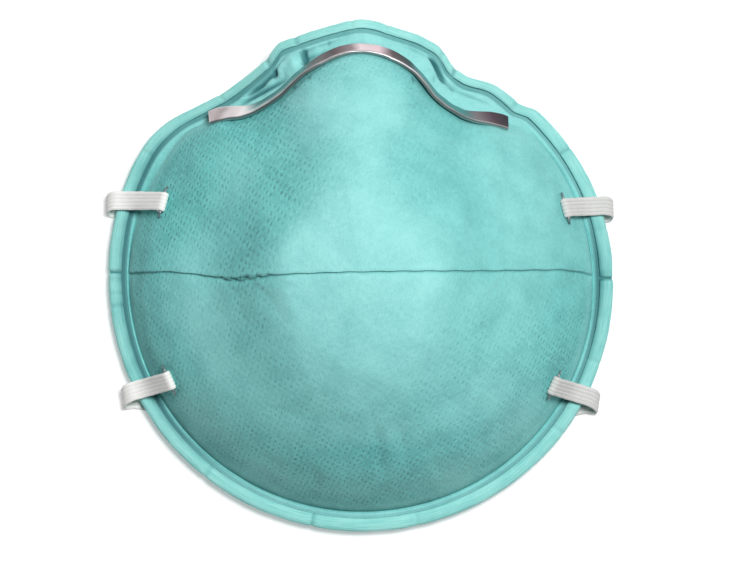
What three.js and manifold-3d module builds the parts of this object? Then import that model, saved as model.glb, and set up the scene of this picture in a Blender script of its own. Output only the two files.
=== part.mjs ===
// Cup respirator with two elastic straps, lying dome up on a flat surface.
//
// Millimetres, Z up. X runs across the face, Y from the chin (-) to the nose (+), and Z away from
// the face. The surface that it lies on is Z = 0. Angles are in degrees round the cup's middle,
// from +X towards +Y, so the nose is at 90 and the chin at 270.

import * as THREE from 'three';
import { LoftGeometry } from 'three/addons/geometries/LoftGeometry.js';
import { mergeGeometries, mergeVertices } from 'three/addons/utils/BufferGeometryUtils.js';
import Module from 'manifold-3d';

const GAP = 0.3;
// Extra room where a piece follows the cup, for the flats between the cup's spokes.
const FACET_ROOM = 0.15;

// Cup
const APEX_HEIGHT = 52;
const WALL = 2.0;
const FLANGE = 0.9;
const WALL_BEND = 0.17;
// The wall's foot keeps this far inside the flange and above it.
const FOOT_ROOM = 0.4;
const FOOT_RISE = 0.15;
const PLEAT_STEP = 0.7;
const PLEAT_HALF_WIDTH = 0.35;
const PLEAT_FADE = 14;

// Sealed rim
const BAND_WIDTH = 4.0;
const BAND_HEIGHT = 3.2;
const BAND_SLOT_DEPTH = 2.6;
const BAND_LIFT = 3.0;
const GROOVE = 1.3;

// Straps: flat braided elastic
const STRAP_WIDTH = 5.1;
const STRAP_THICKNESS = 0.9;
const STRAP_LENGTH = 192;
const TAIL = 2.4;
const RETURN_SHIFT = 2.2;
// How hard the run from the staple to the loop is pulled straight at its two ends.
const RUN_OUT = 7;
const RUN_IN = 5.2;
const FLOOR_STEPS = 28;

// Staples
const WIRE = 0.6;
const CROWN = 9.0;
const CLINCH = 2.6;
const WIRE_SIDES = 8;

// Nose clip
const CLIP_WIDTH = 5.0;
const CLIP_THICKNESS = 0.9;
const CLIP_FROM = 46;
const CLIP_TO = 134;

const COLOURS = {
  cup: { color: 0x84d6d2, roughness: 0.95, metalness: 0 },
  band: { color: 0x8fdcd5, roughness: 0.95, metalness: 0 },
  clip: { color: 0xcfc4c6, roughness: 0.35, metalness: 1 },
  strap: { color: 0xdfe3e0, roughness: 0.9, metalness: 0 },
  wire: { color: 0x6d7072, roughness: 0.4, metalness: 1 },
};

// A table's rows under the names of its columns.
function table(names, rows) {
  return rows.map(row => Object.fromEntries(names.split(' ').map((name, i) => [name, row[i]])));
}

// Outer edge of the rim seen from the front: round below, with a peak over the nose, a dip on
// each side of it and a small step where the flange crumples.
const OUTLINE = table('angle radius', [
  [0, 68.0],
  [22, 67.0],
  [36, 65.9],
  [43, 65.2],
  [47.5, 63.2],
  [54, 63.0],
  [62, 60.9],
  [66.5, 61.9],
  [70.5, 64.9],
  [74, 66.0],
  [82, 67.4],
  [90, 68.9],
  [96, 67.9],
  [103, 66.9],
  [109, 66.5],
  [113, 64.0],
  [119, 62.2],
  [125, 61.6],
  [133, 63.3],
  [142, 66.9],
  [151, 68.4],
  [180, 68.1],
  [225, 68.6],
  [270, 68.9],
  [316, 69.2],
  [342, 68.6],
]);

// Sections of the cup, one row for each direction. lift is the flange's height and tilt its slope
// in degrees, down towards the outside. crown and flank are the heights at the two radii below.
// The steep wall runs from its shoulder, at the height top, down to its foot, at the height low.
const CROWN_RADIUS = 19;
const FLANK_RADIUS = 38;
const SECTIONS = table('angle lift tilt crown flank shoulder top foot low', [
  [0, 3.0, 0, 48.0, 33.0, 58.2, 10.8, 62.2, 4.1],
  [38, 3.8, 12, 47.8, 32.0, 56.2, 12.4, 59.9, 5.6],
  [47, 5.2, 25, 47.8, 31.6, 54.2, 14.8, 56.8, 8.0],
  [53, 6.7, 31, 47.8, 31.7, 50.6, 18.2, 53.4, 11.2],
  [58.5, 8.2, 35, 47.9, 32.2, 48.8, 20.9, 51.6, 14.0],
  [64, 9.8, 36, 48.2, 33.6, 49.1, 22.2, 52.1, 15.4],
  [70, 11.6, 36, 48.5, 35.7, 50.9, 23.4, 54.1, 16.6],
  [76, 13.0, 36, 48.8, 37.9, 55.0, 24.5, 58.2, 17.7],
  [83, 13.8, 36, 49.1, 39.6, 57.6, 25.3, 60.9, 18.5],
  [90, 14.0, 36, 49.2, 40.2, 58.9, 25.6, 62.1, 18.8],
  [97, 13.7, 36, 49.2, 39.4, 57.6, 25.5, 60.9, 18.8],
  [104, 13.0, 36, 49.0, 37.8, 55.1, 25.0, 58.4, 18.6],
  [111, 11.6, 36, 48.9, 35.6, 52.1, 23.2, 55.3, 17.0],
  [118, 9.7, 36, 48.8, 33.1, 50.6, 20.9, 53.6, 14.6],
  [124, 7.9, 35, 48.7, 31.6, 51.1, 18.3, 53.9, 12.2],
  [129, 6.5, 32, 48.6, 31.0, 53.5, 15.4, 56.2, 9.7],
  [134, 5.3, 27, 48.6, 30.0, 57.0, 13.6, 59.4, 7.6],
  [145, 3.7, 12, 48.7, 29.6, 57.0, 13.0, 61.4, 5.2],
  [180, 3.0, 0, 48.7, 30.0, 58.4, 12.0, 62.4, 4.1],
  [225, 3.0, 0, 48.7, 35.0, 59.4, 11.6, 63.0, 4.3],
  [270, 3.0, 0, 49.0, 38.4, 58.6, 14.6, 63.2, 4.4],
  [315, 3.0, 0, 48.4, 35.8, 59.6, 11.8, 63.4, 4.3],
]);

// The cross pleat's line over the front, at each distance from the middle.
const PLEAT = table('x y', [
  [-66, 1.0],
  [-45, 0.6],
  [-31, -0.3],
  [-18, 0.7],
  [10, 1.4],
  [40, 1.5],
  [53, 0.9],
  [66, -2.2],
]);

// Strap ends: where the staple stands on the cup, and the way that the strap leaves it.
const STRAP_ENDS = {
  upperLeft: { angle: 159.5, radius: 55.8, heading: 179 },
  upperRight: { angle: 18.3, radius: 57.0, heading: 3 },
  lowerLeft: { angle: 208.6, radius: 57.6, heading: 196 },
  lowerRight: { angle: 330.4, radius: 58.6, heading: 343 },
};
const UPPER_FLAT = 0;
const LOWER_FLAT = 0.25;

// ---------------------------------------------------------------------------------------------
// Curves

// A smooth curve through points, with no overshoot between them. Ends take the given slopes. At a
// corner the slope is at most STEEPEST times the gentler side's, so a shoulder doesn't bulge.
const STEEPEST = 1.7;
function smoothCurve(xs, ys, startSlope = null, endSlope = null) {
  const last = xs.length - 1;
  const secant = i => (ys[i + 1] - ys[i]) / (xs[i + 1] - xs[i]);
  const slopes = xs.map((_, i) => {
    if (i === 0) return startSlope ?? secant(0);
    if (i === last) return endSlope ?? secant(last - 1);
    const before = secant(i - 1);
    const after = secant(i);
    if (before * after <= 0) return 0;
    const spanBefore = xs[i] - xs[i - 1];
    const spanAfter = xs[i + 1] - xs[i];
    const mean = (before * spanAfter + after * spanBefore) / (spanBefore + spanAfter);
    const limit = STEEPEST * Math.min(Math.abs(before), Math.abs(after));
    return THREE.MathUtils.clamp(mean, -limit, limit);
  });
  return x => {
    let i = 0;
    while (i < last - 1 && x > xs[i + 1]) i += 1;
    const span = xs[i + 1] - xs[i];
    const t = (x - xs[i]) / span;
    const fromStart = ys[i] * (1 + 2 * t) + slopes[i] * span * t;
    const fromEnd = ys[i + 1] * (3 - 2 * t) - slopes[i + 1] * span * (1 - t);
    return fromStart * (1 - t) ** 2 + fromEnd * t ** 2;
  };
}

// The same round a full turn, from one named column of a table with an angle column.
function roundCurve(table, column) {
  const turns = [-360, 0, 360];
  const xs = turns.flatMap(turn => table.map(row => row.angle + turn));
  const ys = turns.flatMap(() => table.map(row => row[column]));
  return smoothCurve(xs, ys);
}

const outline = roundCurve(OUTLINE, 'radius');
const pleatLine = smoothCurve(PLEAT.map(row => row.x), PLEAT.map(row => row.y));
const column = Object.fromEntries(
  ['lift', 'tilt', 'crown', 'flank', 'shoulder', 'top', 'foot', 'low']
    .map(name => [name, roundCurve(SECTIONS, name)]),
);

const radians = THREE.MathUtils.degToRad;
const { lerp } = THREE.MathUtils;

// ---------------------------------------------------------------------------------------------
// The cup's form

// One radial section: the rim's numbers, and the outer surface's height at each radius.
function sectionAt(angle) {
  const named = Object.entries(column).map(([name, curve]) => [name, curve(angle)]);
  const value = Object.fromEntries(named);
  const slope = Math.tan(radians(value.tilt));
  const level = Math.cos(radians(value.tilt));
  const rim = outline(angle);
  const bandMiddle = rim - BAND_WIDTH / 2 * level;
  const start = bandMiddle - (BAND_WIDTH / 2 + GROOVE) * level;
  const flangeTop = radius => value.lift + FLANGE / 2 / level - (radius - bandMiddle) * slope;
  const foot = Math.min(value.foot, start - FOOT_ROOM);
  const low = Math.max(value.low, flangeTop(start) + FOOT_RISE);
  const wall = share => [lerp(value.shoulder, foot, share), lerp(value.top, low, share)];
  const points = [
    [0, APEX_HEIGHT],
    [CROWN_RADIUS, value.crown],
    [FLANK_RADIUS, value.flank],
    wall(0),
    wall(WALL_BEND),
    wall(1 - WALL_BEND),
    wall(1),
    [start, flangeTop(start)],
  ];
  const radii = points.map(([radius]) => radius);
  const heights = points.map(([, height]) => height);
  const dome = smoothCurve(radii, heights, 0, -slope);
  const height = radius => (radius < start ? dome(radius) : flangeTop(radius));
  return { ...value, foot, rim, bandMiddle, start, slope, level, height };
}

const polar = (x, y) => [Math.atan2(y, x) * 180 / Math.PI, Math.hypot(x, y)];

function surfaceHeight(x, y) {
  const [angle, radius] = polar(x, y);
  return sectionAt(angle).height(radius);
}

function surfacePoint(x, y) {
  return new THREE.Vector3(x, y, surfaceHeight(x, y));
}

function surfaceNormal(x, y) {
  const step = 0.2;
  const slopeX = (surfaceHeight(x + step, y) - surfaceHeight(x - step, y)) / (2 * step);
  const slopeY = (surfaceHeight(x, y + step) - surfaceHeight(x, y - step)) / (2 * step);
  return new THREE.Vector3(-slopeX, -slopeY, 1).normalize();
}

// Directions of the cup's spokes: closer over the nose, and a pair along each side of the pleat.
function range(from, to, step) {
  const count = Math.round((to - from) / step);
  return Array.from({ length: count + 1 }, (_, i) => from + i * step);
}
const PLAIN_SPOKES = [...range(8, 38, 6), ...range(41, 143, 3), ...range(148, 172, 6), ...range(188, 350, 6)];

function spokes() {
  const plain = PLAIN_SPOKES.map(angle => ({ angle }));
  const pleats = [0, 180].flatMap(angle => [
    { angle, side: angle === 0 ? -1 : 1 },
    { angle: angle + 1, side: angle === 0 ? 1 : -1 },
  ]);
  return [...plain, ...pleats].sort((a, b) => a.angle - b.angle);
}

// A spoke's direction at a radius. The pleat's spokes keep just above and just below its line.
function spokeAngle(spoke, radius) {
  if (spoke.side === undefined) return spoke.angle;
  const right = spoke.angle < 90;
  const degrees = length => Math.atan2(length, radius) * 180 / Math.PI;
  const line = THREE.MathUtils.clamp(degrees(pleatLine(right ? radius : -radius)), -3, 3);
  const turn = line + spoke.side * Math.min(degrees(PLEAT_HALF_WIDTH), 2.5);
  return right ? turn : 180 - turn;
}

// How far the pleat's upper lip stands over the part below it. It sinks back into the cup above.
function pleatRise(x, y) {
  const above = y - pleatLine(x);
  const lip = THREE.MathUtils.smoothstep(above, -PLEAT_HALF_WIDTH, PLEAT_HALF_WIDTH);
  return PLEAT_STEP * lip * (1 - THREE.MathUtils.smoothstep(above, 1, PLEAT_FADE));
}

// ---------------------------------------------------------------------------------------------
// Cup shell

// Rings from the middle out to the end of the flange, as fractions between the form's own lines.
function ringRadius(section, ring) {
  const edge = section.bandMiddle + (GAP - FACET_ROOM) * section.level;
  const lines = [0, section.shoulder, section.foot, section.start, edge];
  const line = Math.floor(ring);
  if (line >= lines.length - 1) return lines[lines.length - 1];
  return lerp(lines[line], lines[line + 1], ring - line);
}
const OUTER_RINGS = [0.07, 0.18, 0.3, 0.42, 0.54, 0.66, 0.77, 0.86, 0.93, 1, 1.33, 1.67, 2, 2.5, 3, 4];
const INNER_RINGS = [0.07, 0.2, 0.35, 0.5, 0.64, 0.78, 0.9, 1, 1.5, 2, 2.5, 3, 4];

function shellRing(ring, inside) {
  return spokes().map(spoke => {
    const roughRadius = ringRadius(sectionAt(spoke.angle), ring);
    const angle = spokeAngle(spoke, roughRadius);
    const radius = ringRadius(sectionAt(angle), ring);
    const x = radius * Math.cos(radians(angle));
    const y = radius * Math.sin(radians(angle));
    const point = surfacePoint(x, y);
    const normal = surfaceNormal(x, y);
    if (inside) {
      const pressed = THREE.MathUtils.smoothstep(ring, 1.8, 3);
      return point.addScaledVector(normal, -lerp(WALL, FLANGE, pressed));
    }
    return point.addScaledVector(normal, pleatRise(x, y) * (1 - THREE.MathUtils.smoothstep(ring, 1.6, 2.6)));
  }).reverse();
}

const wasm = await Module();
wasm.setup();

function toSolid(geometry) {
  const bare = new THREE.BufferGeometry();
  bare.setAttribute('position', geometry.attributes.position);
  bare.setIndex(geometry.index);
  const merged = mergeVertices(bare, 1e-4);
  return new wasm.Manifold(new wasm.Mesh({
    numProp: 3,
    vertProperties: new Float32Array(merged.attributes.position.array),
    triVerts: new Uint32Array(merged.index.array),
  }));
}

function toGeometry(solid) {
  const mesh = solid.getMesh();
  const geometry = new THREE.BufferGeometry();
  geometry.setAttribute('position', new THREE.BufferAttribute(mesh.vertProperties, 3));
  geometry.setIndex(new THREE.BufferAttribute(mesh.triVerts, 1));
  geometry.computeVertexNormals();
  return geometry;
}

function shellGeometry(staplePlaces) {
  const outerRings = OUTER_RINGS.map(ring => shellRing(ring, false));
  const innerRings = INNER_RINGS.map(ring => shellRing(ring, true));
  const outside = new LoftGeometry([...outerRings, innerRings.at(-1)], { capStart: true });
  const inside = new LoftGeometry(innerRings, { capStart: true });
  inside.index.array.reverse();
  let solid = toSolid(mergeGeometries([outside, inside]));
  for (const place of staplePlaces) {
    for (const side of [-1, 1]) {
      solid = solid.subtract(toSolid(legHoleGeometry(place, side)));
    }
  }
  return toGeometry(solid);
}

// ---------------------------------------------------------------------------------------------
// Rim, clip and straps are sections swept along stations

// A station has its place and the section's two directions. The section's points run
// counter-clockwise with across to the right and face up, or backwards where the stations run
// the other way, so that the surface faces out.
function sweep(stations, section, closed = false) {
  const way = stations[1].at.clone().sub(stations[0].at);
  const forwards = stations[0].across.clone().cross(stations[0].face).dot(way) > 0;
  const points = forwards ? section : section.toReversed();
  const rings = stations.map(({ at, across, face }) => points.map(([a, b]) => (
    at.clone().addScaledVector(across, a).addScaledVector(face, b)
  )));
  if (closed) rings.push(rings[0].map(point => point.clone()));
  return new LoftGeometry(rings, { capStart: !closed, capEnd: !closed });
}

function rectangle(width, thickness) {
  const w = width / 2;
  const t = thickness / 2;
  return [[-w, -t], [w, -t], [w, t], [-w, t]];
}

// The rim's roll: rounded outside, with a slot on its inner side that takes the cup's flange.
function bandSection() {
  const w = BAND_WIDTH / 2;
  const h = BAND_HEIGHT / 2;
  const slot = FLANGE / 2 + GAP + FACET_ROOM;
  const end = -w + BAND_SLOT_DEPTH;
  const under = [[-w, -slot], [-w * 0.97, -h * 0.72], [-w * 0.6, -h], [w * 0.5, -h], [w * 0.87, -h * 0.68]];
  const over = under.map(([a, b]) => [a, -b]).reverse();
  return [...under, [w, 0], ...over, [end, slot], [end, -slot]];
}

function bandGeometry() {
  const directions = [...PLAIN_SPOKES, 2, 178, 182, 356].sort((a, b) => a - b);
  const stations = directions.map(angle => {
    const section = sectionAt(angle);
    const out = new THREE.Vector3(Math.cos(radians(angle)), Math.sin(radians(angle)), 0);
    const tilt = radians(section.tilt);
    const at = out.clone().multiplyScalar(section.bandMiddle).setZ(section.lift);
    const across = out.clone().multiplyScalar(Math.cos(tilt)).setZ(-Math.sin(tilt));
    const face = out.clone().multiplyScalar(Math.sin(tilt)).setZ(Math.cos(tilt));
    return { at, across, face };
  });
  return sweep(stations, bandSection(), true);
}

// The clip lies on the middle of the steep wall, bent to follow it from cheek to cheek.
function clipGeometry() {
  const stand = GAP + FACET_ROOM + CLIP_THICKNESS / 2;
  const places = range(CLIP_FROM, CLIP_TO, 2).map(angle => {
    const section = sectionAt(angle);
    const radius = (section.shoulder + section.foot) / 2;
    const x = radius * Math.cos(radians(angle));
    const y = radius * Math.sin(radians(angle));
    return { at: surfacePoint(x, y), face: surfaceNormal(x, y) };
  });
  const stations = places.map(({ at, face }, i) => {
    const before = places[Math.max(i - 1, 0)].at;
    const after = places[Math.min(i + 1, places.length - 1)].at;
    const along = after.clone().sub(before).normalize();
    const across = along.clone().cross(face).normalize();
    return { at: at.clone().addScaledVector(face, stand), across, face };
  });
  return sweep(stations, rectangle(CLIP_WIDTH, CLIP_THICKNESS));
}

// Where a strap end stands: on the cup, with the surface's normal, the way down the strap
// along the surface, and across it. Seen from the front the strap runs straight on its heading.
function strapPlace({ angle, radius, heading }) {
  const x = radius * Math.cos(radians(angle));
  const y = radius * Math.sin(radians(angle));
  const normal = surfaceNormal(x, y);
  const level = new THREE.Vector3(Math.cos(radians(heading)), Math.sin(radians(heading)), 0);
  const down = level.clone().setZ(-normal.dot(level) / normal.z).normalize();
  const across = down.clone().cross(normal);
  return { foot: surfacePoint(x, y), normal, across, down, level };
}

const TAIL_STAND = GAP + FACET_ROOM / 2 + STRAP_THICKNESS / 2;
const WIRE_STAND = TAIL_STAND + STRAP_THICKNESS / 2 + GAP + WIRE / 2;
const STRAND_STAND = WIRE_STAND + WIRE / 2 + GAP + STRAP_THICKNESS / 2;
const LOOP_TOP = BAND_LIFT + BAND_HEIGHT / 2 + GAP + FACET_ROOM + STRAP_THICKNESS / 2;
const FLOOR_STAND = STRAP_THICKNESS / 2;

// Half of a strap on the cup: the tail under the staple, the fold over its wire, the run down
// over the rim, and the loop round the rim's outside down to the surface.
function strapEnd(end) {
  const { foot, normal, across, down, level } = strapPlace(end);
  const stations = [];

  for (const out of range(TAIL, 0, -TAIL / 3)) {
    const on = foot.clone().addScaledVector(down, out);
    const at = surfacePoint(on.x, on.y).addScaledVector(surfaceNormal(on.x, on.y), TAIL_STAND);
    stations.push({ at, along: down.clone().negate(), across: across.clone().negate() });
  }

  const foldRadius = (STRAND_STAND - TAIL_STAND) / 2;
  const wire = foot.clone().addScaledVector(normal, WIRE_STAND);
  for (const turn of range(-60, 60, 30)) {
    const c = Math.cos(radians(turn));
    const s = Math.sin(radians(turn));
    const at = wire.clone().addScaledVector(down, -foldRadius * c).addScaledVector(normal, foldRadius * s);
    const along = down.clone().multiplyScalar(s).addScaledVector(normal, c);
    stations.push({ at, along, across: across.clone().negate() });
  }

  const flatAcross = level.clone().cross(new THREE.Vector3(0, 0, 1));
  const top = foot.clone().addScaledVector(normal, STRAND_STAND);
  const loopRadius = (LOOP_TOP - FLOOR_STAND) / 2;
  const loopStart = top.clone();
  while (outline(polar(loopStart.x, loopStart.y)[0]) > polar(loopStart.x, loopStart.y)[1] - GAP * 2) {
    loopStart.addScaledVector(level, 0.05);
  }
  loopStart.setZ(LOOP_TOP);
  const run = new THREE.CubicBezierCurve3(
    top,
    top.clone().addScaledVector(down, RUN_OUT),
    loopStart.clone().addScaledVector(level, -RUN_IN),
    loopStart,
  );
  for (const t of range(0, 1, 1 / 8)) {
    const lean = across.clone().lerp(flatAcross, THREE.MathUtils.smoothstep(t, 0.1, 0.8)).normalize();
    stations.push({ at: run.getPoint(t), along: run.getTangent(t), across: lean.negate() });
  }

  const middle = loopStart.clone().addScaledVector(new THREE.Vector3(0, 0, 1), -loopRadius);
  const inward = new THREE.Vector3(level.x > 0 ? -1 : 1, 0, 0);
  const floorAcross = inward.clone().cross(new THREE.Vector3(0, 0, 1));
  for (const turn of range(67.5, -90, -22.5)) {
    const done = (90 - turn) / 180;
    const c = Math.cos(radians(turn));
    const s = Math.sin(radians(turn));
    const at = middle.clone().addScaledVector(level, loopRadius * c);
    at.z += loopRadius * s;
    at.y -= RETURN_SHIFT * THREE.MathUtils.smoothstep(done, 0, 1);
    const along = level.clone().multiplyScalar(s).setZ(-c);
    const lean = flatAcross.clone().negate().lerp(floorAcross, THREE.MathUtils.smoothstep(done, 0, 1));
    stations.push({ at, along, across: lean.normalize() });
  }
  return stations;
}

// The hidden stretch lies flat on the surface, from loop to loop, in one smooth bow.
function floorRun(left, right, drop, flat) {
  const spot = t => {
    const at = left.clone().lerp(right, t);
    at.y -= drop * (1 - THREE.MathUtils.smoothstep(Math.abs(2 * t - 1), flat, 1));
    return at;
  };
  const step = 0.002;
  return range(1 / FLOOR_STEPS, 1 - 1 / FLOOR_STEPS, 1 / FLOOR_STEPS).map(t => {
    const along = spot(t + step).sub(spot(t - step)).normalize();
    return { at: spot(t), along, across: along.clone().cross(new THREE.Vector3(0, 0, 1)) };
  });
}

function routeLength(stations) {
  return stations.slice(1).reduce((sum, { at }, i) => sum + at.distanceTo(stations[i].at), 0);
}

// A whole strap. The bow's drop is found from the strap's length.
function strapStations(leftEnd, rightEnd, flat) {
  const left = strapEnd(leftEnd);
  const right = strapEnd(rightEnd).reverse().map(({ at, along, across }) => (
    { at, along: along.clone().negate(), across: across.clone().negate() }
  ));
  const route = drop => [...left, ...floorRun(left.at(-1).at, right[0].at, drop, flat), ...right];
  let low = 0;
  let high = 60;
  for (let i = 0; i < 40; i += 1) {
    const drop = (low + high) / 2;
    if (routeLength(route(drop)) < STRAP_LENGTH) low = drop;
    else high = drop;
  }
  return route(low);
}

function strapGeometry(leftEnd, rightEnd, flat) {
  const stations = strapStations(leftEnd, rightEnd, flat).map(({ at, along, across }) => {
    const face = across.clone().cross(along).normalize();
    return { at, across: along.clone().cross(face).normalize(), face };
  });
  return sweep(stations, rectangle(STRAP_WIDTH, STRAP_THICKNESS));
}

// ---------------------------------------------------------------------------------------------
// Staples

const LEG = CROWN / 2 - WIRE / 2;

// Half of the wire's line in the staple's own plane: across the strap, and out of the cup.
function stapleLine() {
  const top = WIRE_STAND;
  const below = -(WALL + GAP + WIRE / 2 + 3 * FACET_ROOM);
  const bend = 0.8;
  const corner = (x, y, from) => range(from, from + 90, 30).map(turn => (
    [x + bend * Math.cos(radians(turn)), y + bend * Math.sin(radians(turn)), turn]
  ));
  const clinch = [LEG - CLINCH, below, 270];
  const half = [clinch, ...corner(LEG - bend, below + bend, 270), ...corner(LEG - bend, top - bend, 0)];
  const other = half.map(([x, y, turn]) => [-x, y, 180 - turn]).reverse();
  return [...half, ...other];
}

function stapleGeometry(place) {
  const ring = range(0, 360 - 360 / WIRE_SIDES, 360 / WIRE_SIDES).map(turn => (
    [WIRE / 2 * Math.cos(radians(turn)), WIRE / 2 * Math.sin(radians(turn))]
  ));
  const stations = stapleLine().map(([a, b, turn]) => ({
    at: place.foot.clone().addScaledVector(place.across, a).addScaledVector(place.normal, b),
    across: place.across.clone().multiplyScalar(Math.cos(radians(turn)))
      .addScaledVector(place.normal, Math.sin(radians(turn))),
    face: place.down,
  }));
  return sweep(stations, ring);
}

// A hole through the cup's wall for one leg, a little wider than the wire.
function legHoleGeometry(place, side) {
  const radius = WIRE / 2 + GAP + FACET_ROOM / 2;
  const ring = range(0, 360 - 360 / WIRE_SIDES, 360 / WIRE_SIDES).map(turn => (
    [radius * Math.cos(radians(turn)), radius * Math.sin(radians(turn))]
  ));
  const stations = [2, -WALL - 2].map(out => ({
    at: place.foot.clone().addScaledVector(place.across, side * LEG).addScaledVector(place.normal, out),
    across: place.across,
    face: place.down,
  }));
  return sweep(stations, ring);
}

// ---------------------------------------------------------------------------------------------
// Assembly

const respirator = new THREE.Group();

function addPiece(name, geometry, colours) {
  const mesh = new THREE.Mesh(geometry, new THREE.MeshStandardMaterial(colours));
  mesh.name = name;
  respirator.add(mesh);
}

const staples = {
  staple_upper_left: strapPlace(STRAP_ENDS.upperLeft),
  staple_upper_right: strapPlace(STRAP_ENDS.upperRight),
  staple_lower_left: strapPlace(STRAP_ENDS.lowerLeft),
  staple_lower_right: strapPlace(STRAP_ENDS.lowerRight),
};

addPiece('cup_shell', shellGeometry(Object.values(staples)), COLOURS.cup);
addPiece('edge_band', bandGeometry(), COLOURS.band);
addPiece('nose_clip', clipGeometry(), COLOURS.clip);
const { upperLeft, upperRight, lowerLeft, lowerRight } = STRAP_ENDS;
addPiece('upper_strap', strapGeometry(upperLeft, upperRight, UPPER_FLAT), COLOURS.strap);
addPiece('lower_strap', strapGeometry(lowerLeft, lowerRight, LOWER_FLAT), COLOURS.strap);
for (const [name, place] of Object.entries(staples)) {
  addPiece(name, stapleGeometry(place), COLOURS.wire);
}

export default respirator;
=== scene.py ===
# %% [markdown]
# # A cup respirator, lying dome up
#
# This lesson models a moulded cup respirator: a shell of pressed non-woven cloth with a sealed
# rim, a metal strip over the nose, two flat elastic straps and the wire staples that hold them.
# Lengths in the tables are millimetres. X runs across the face, Y from the chin to the nose, and
# the table that the cup lies on is Z = 0. Angles are degrees round the cup's middle, from +X.

# %% Load the frame
import math
from contextlib import contextmanager
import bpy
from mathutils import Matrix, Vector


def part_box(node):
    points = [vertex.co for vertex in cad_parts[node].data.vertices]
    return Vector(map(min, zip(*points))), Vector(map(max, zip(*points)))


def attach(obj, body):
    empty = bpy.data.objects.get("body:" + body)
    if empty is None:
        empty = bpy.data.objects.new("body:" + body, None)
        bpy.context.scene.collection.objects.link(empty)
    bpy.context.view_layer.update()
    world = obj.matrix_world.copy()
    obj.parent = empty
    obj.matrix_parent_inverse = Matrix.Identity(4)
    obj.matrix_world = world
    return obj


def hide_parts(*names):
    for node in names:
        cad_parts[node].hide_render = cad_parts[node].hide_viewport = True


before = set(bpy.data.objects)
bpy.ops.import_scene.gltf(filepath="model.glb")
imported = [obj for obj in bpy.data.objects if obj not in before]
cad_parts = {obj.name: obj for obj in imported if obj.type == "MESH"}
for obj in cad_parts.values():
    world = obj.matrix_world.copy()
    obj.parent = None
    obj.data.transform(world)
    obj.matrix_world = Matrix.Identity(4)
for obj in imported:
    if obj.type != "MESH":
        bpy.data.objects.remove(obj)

from types import SimpleNamespace

import bpy
import numpy as np
from mathutils import Vector, noise

MM = 0.001
UP = np.array([0, 0, 1.0])
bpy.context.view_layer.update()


# %% [markdown]
# ## The camera
#
# A product picture of a mask looks straight at its front. Here the cup lies on its rim, so the
# camera hangs straight above it. It stands far off behind a long lens, which keeps the dome from
# swelling towards the viewer. The focal length is worked out from the width that has to be seen.

# %% Camera
CAMERA_HEIGHT = 3.0
VIEW_WIDTH = 0.1979
VIEW_MIDDLE = (0.0015, -0.0012)
SENSOR = 36.0

bpy.ops.object.camera_add(location=(*VIEW_MIDDLE, CAMERA_HEIGHT), rotation=(0, 0, 0))
camera = bpy.context.object
camera.name = "camera"
camera.data.sensor_width = SENSOR
camera.data.lens = SENSOR * CAMERA_HEIGHT / VIEW_WIDTH
camera.data.clip_start = 0.01
bpy.context.scene.camera = camera
print("focal length", round(camera.data.lens, 1), "mm")


# %% [markdown]
# ## The mould's form
#
# The cup was pressed on a mould, and everything else lies on the cup, so the form comes first.
# It could be sculpted, but a form that is written down can be asked for the height and the slope
# at any place, and the straps and staples need both. It is a table of sections, one row for each
# direction, joined by smooth curves. The rim seen from the front has a table of its own.

# %% Sizes and tables
WALL = 2.0
FLANGE = 0.9
APEX = 52.0
BAND_WIDTH = 4.0
BAND_HEIGHT = 3.2
GROOVE = 1.3
GAP = 0.3
ROOM = 0.15
CROWN_RADIUS = 19.0
FLANK_RADIUS = 38.0
WALL_BEND = 0.17
FOOT_ROOM = 0.4
FOOT_RISE = 0.15


def table(columns, *rows):
    """Named columns from rows of numbers."""
    return {name: np.array(column, float) for name, column in zip(columns.split(), zip(*rows))}


def each_row(columns):
    """The rows of a table again, for a loop."""
    return zip(*columns.values())


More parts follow.
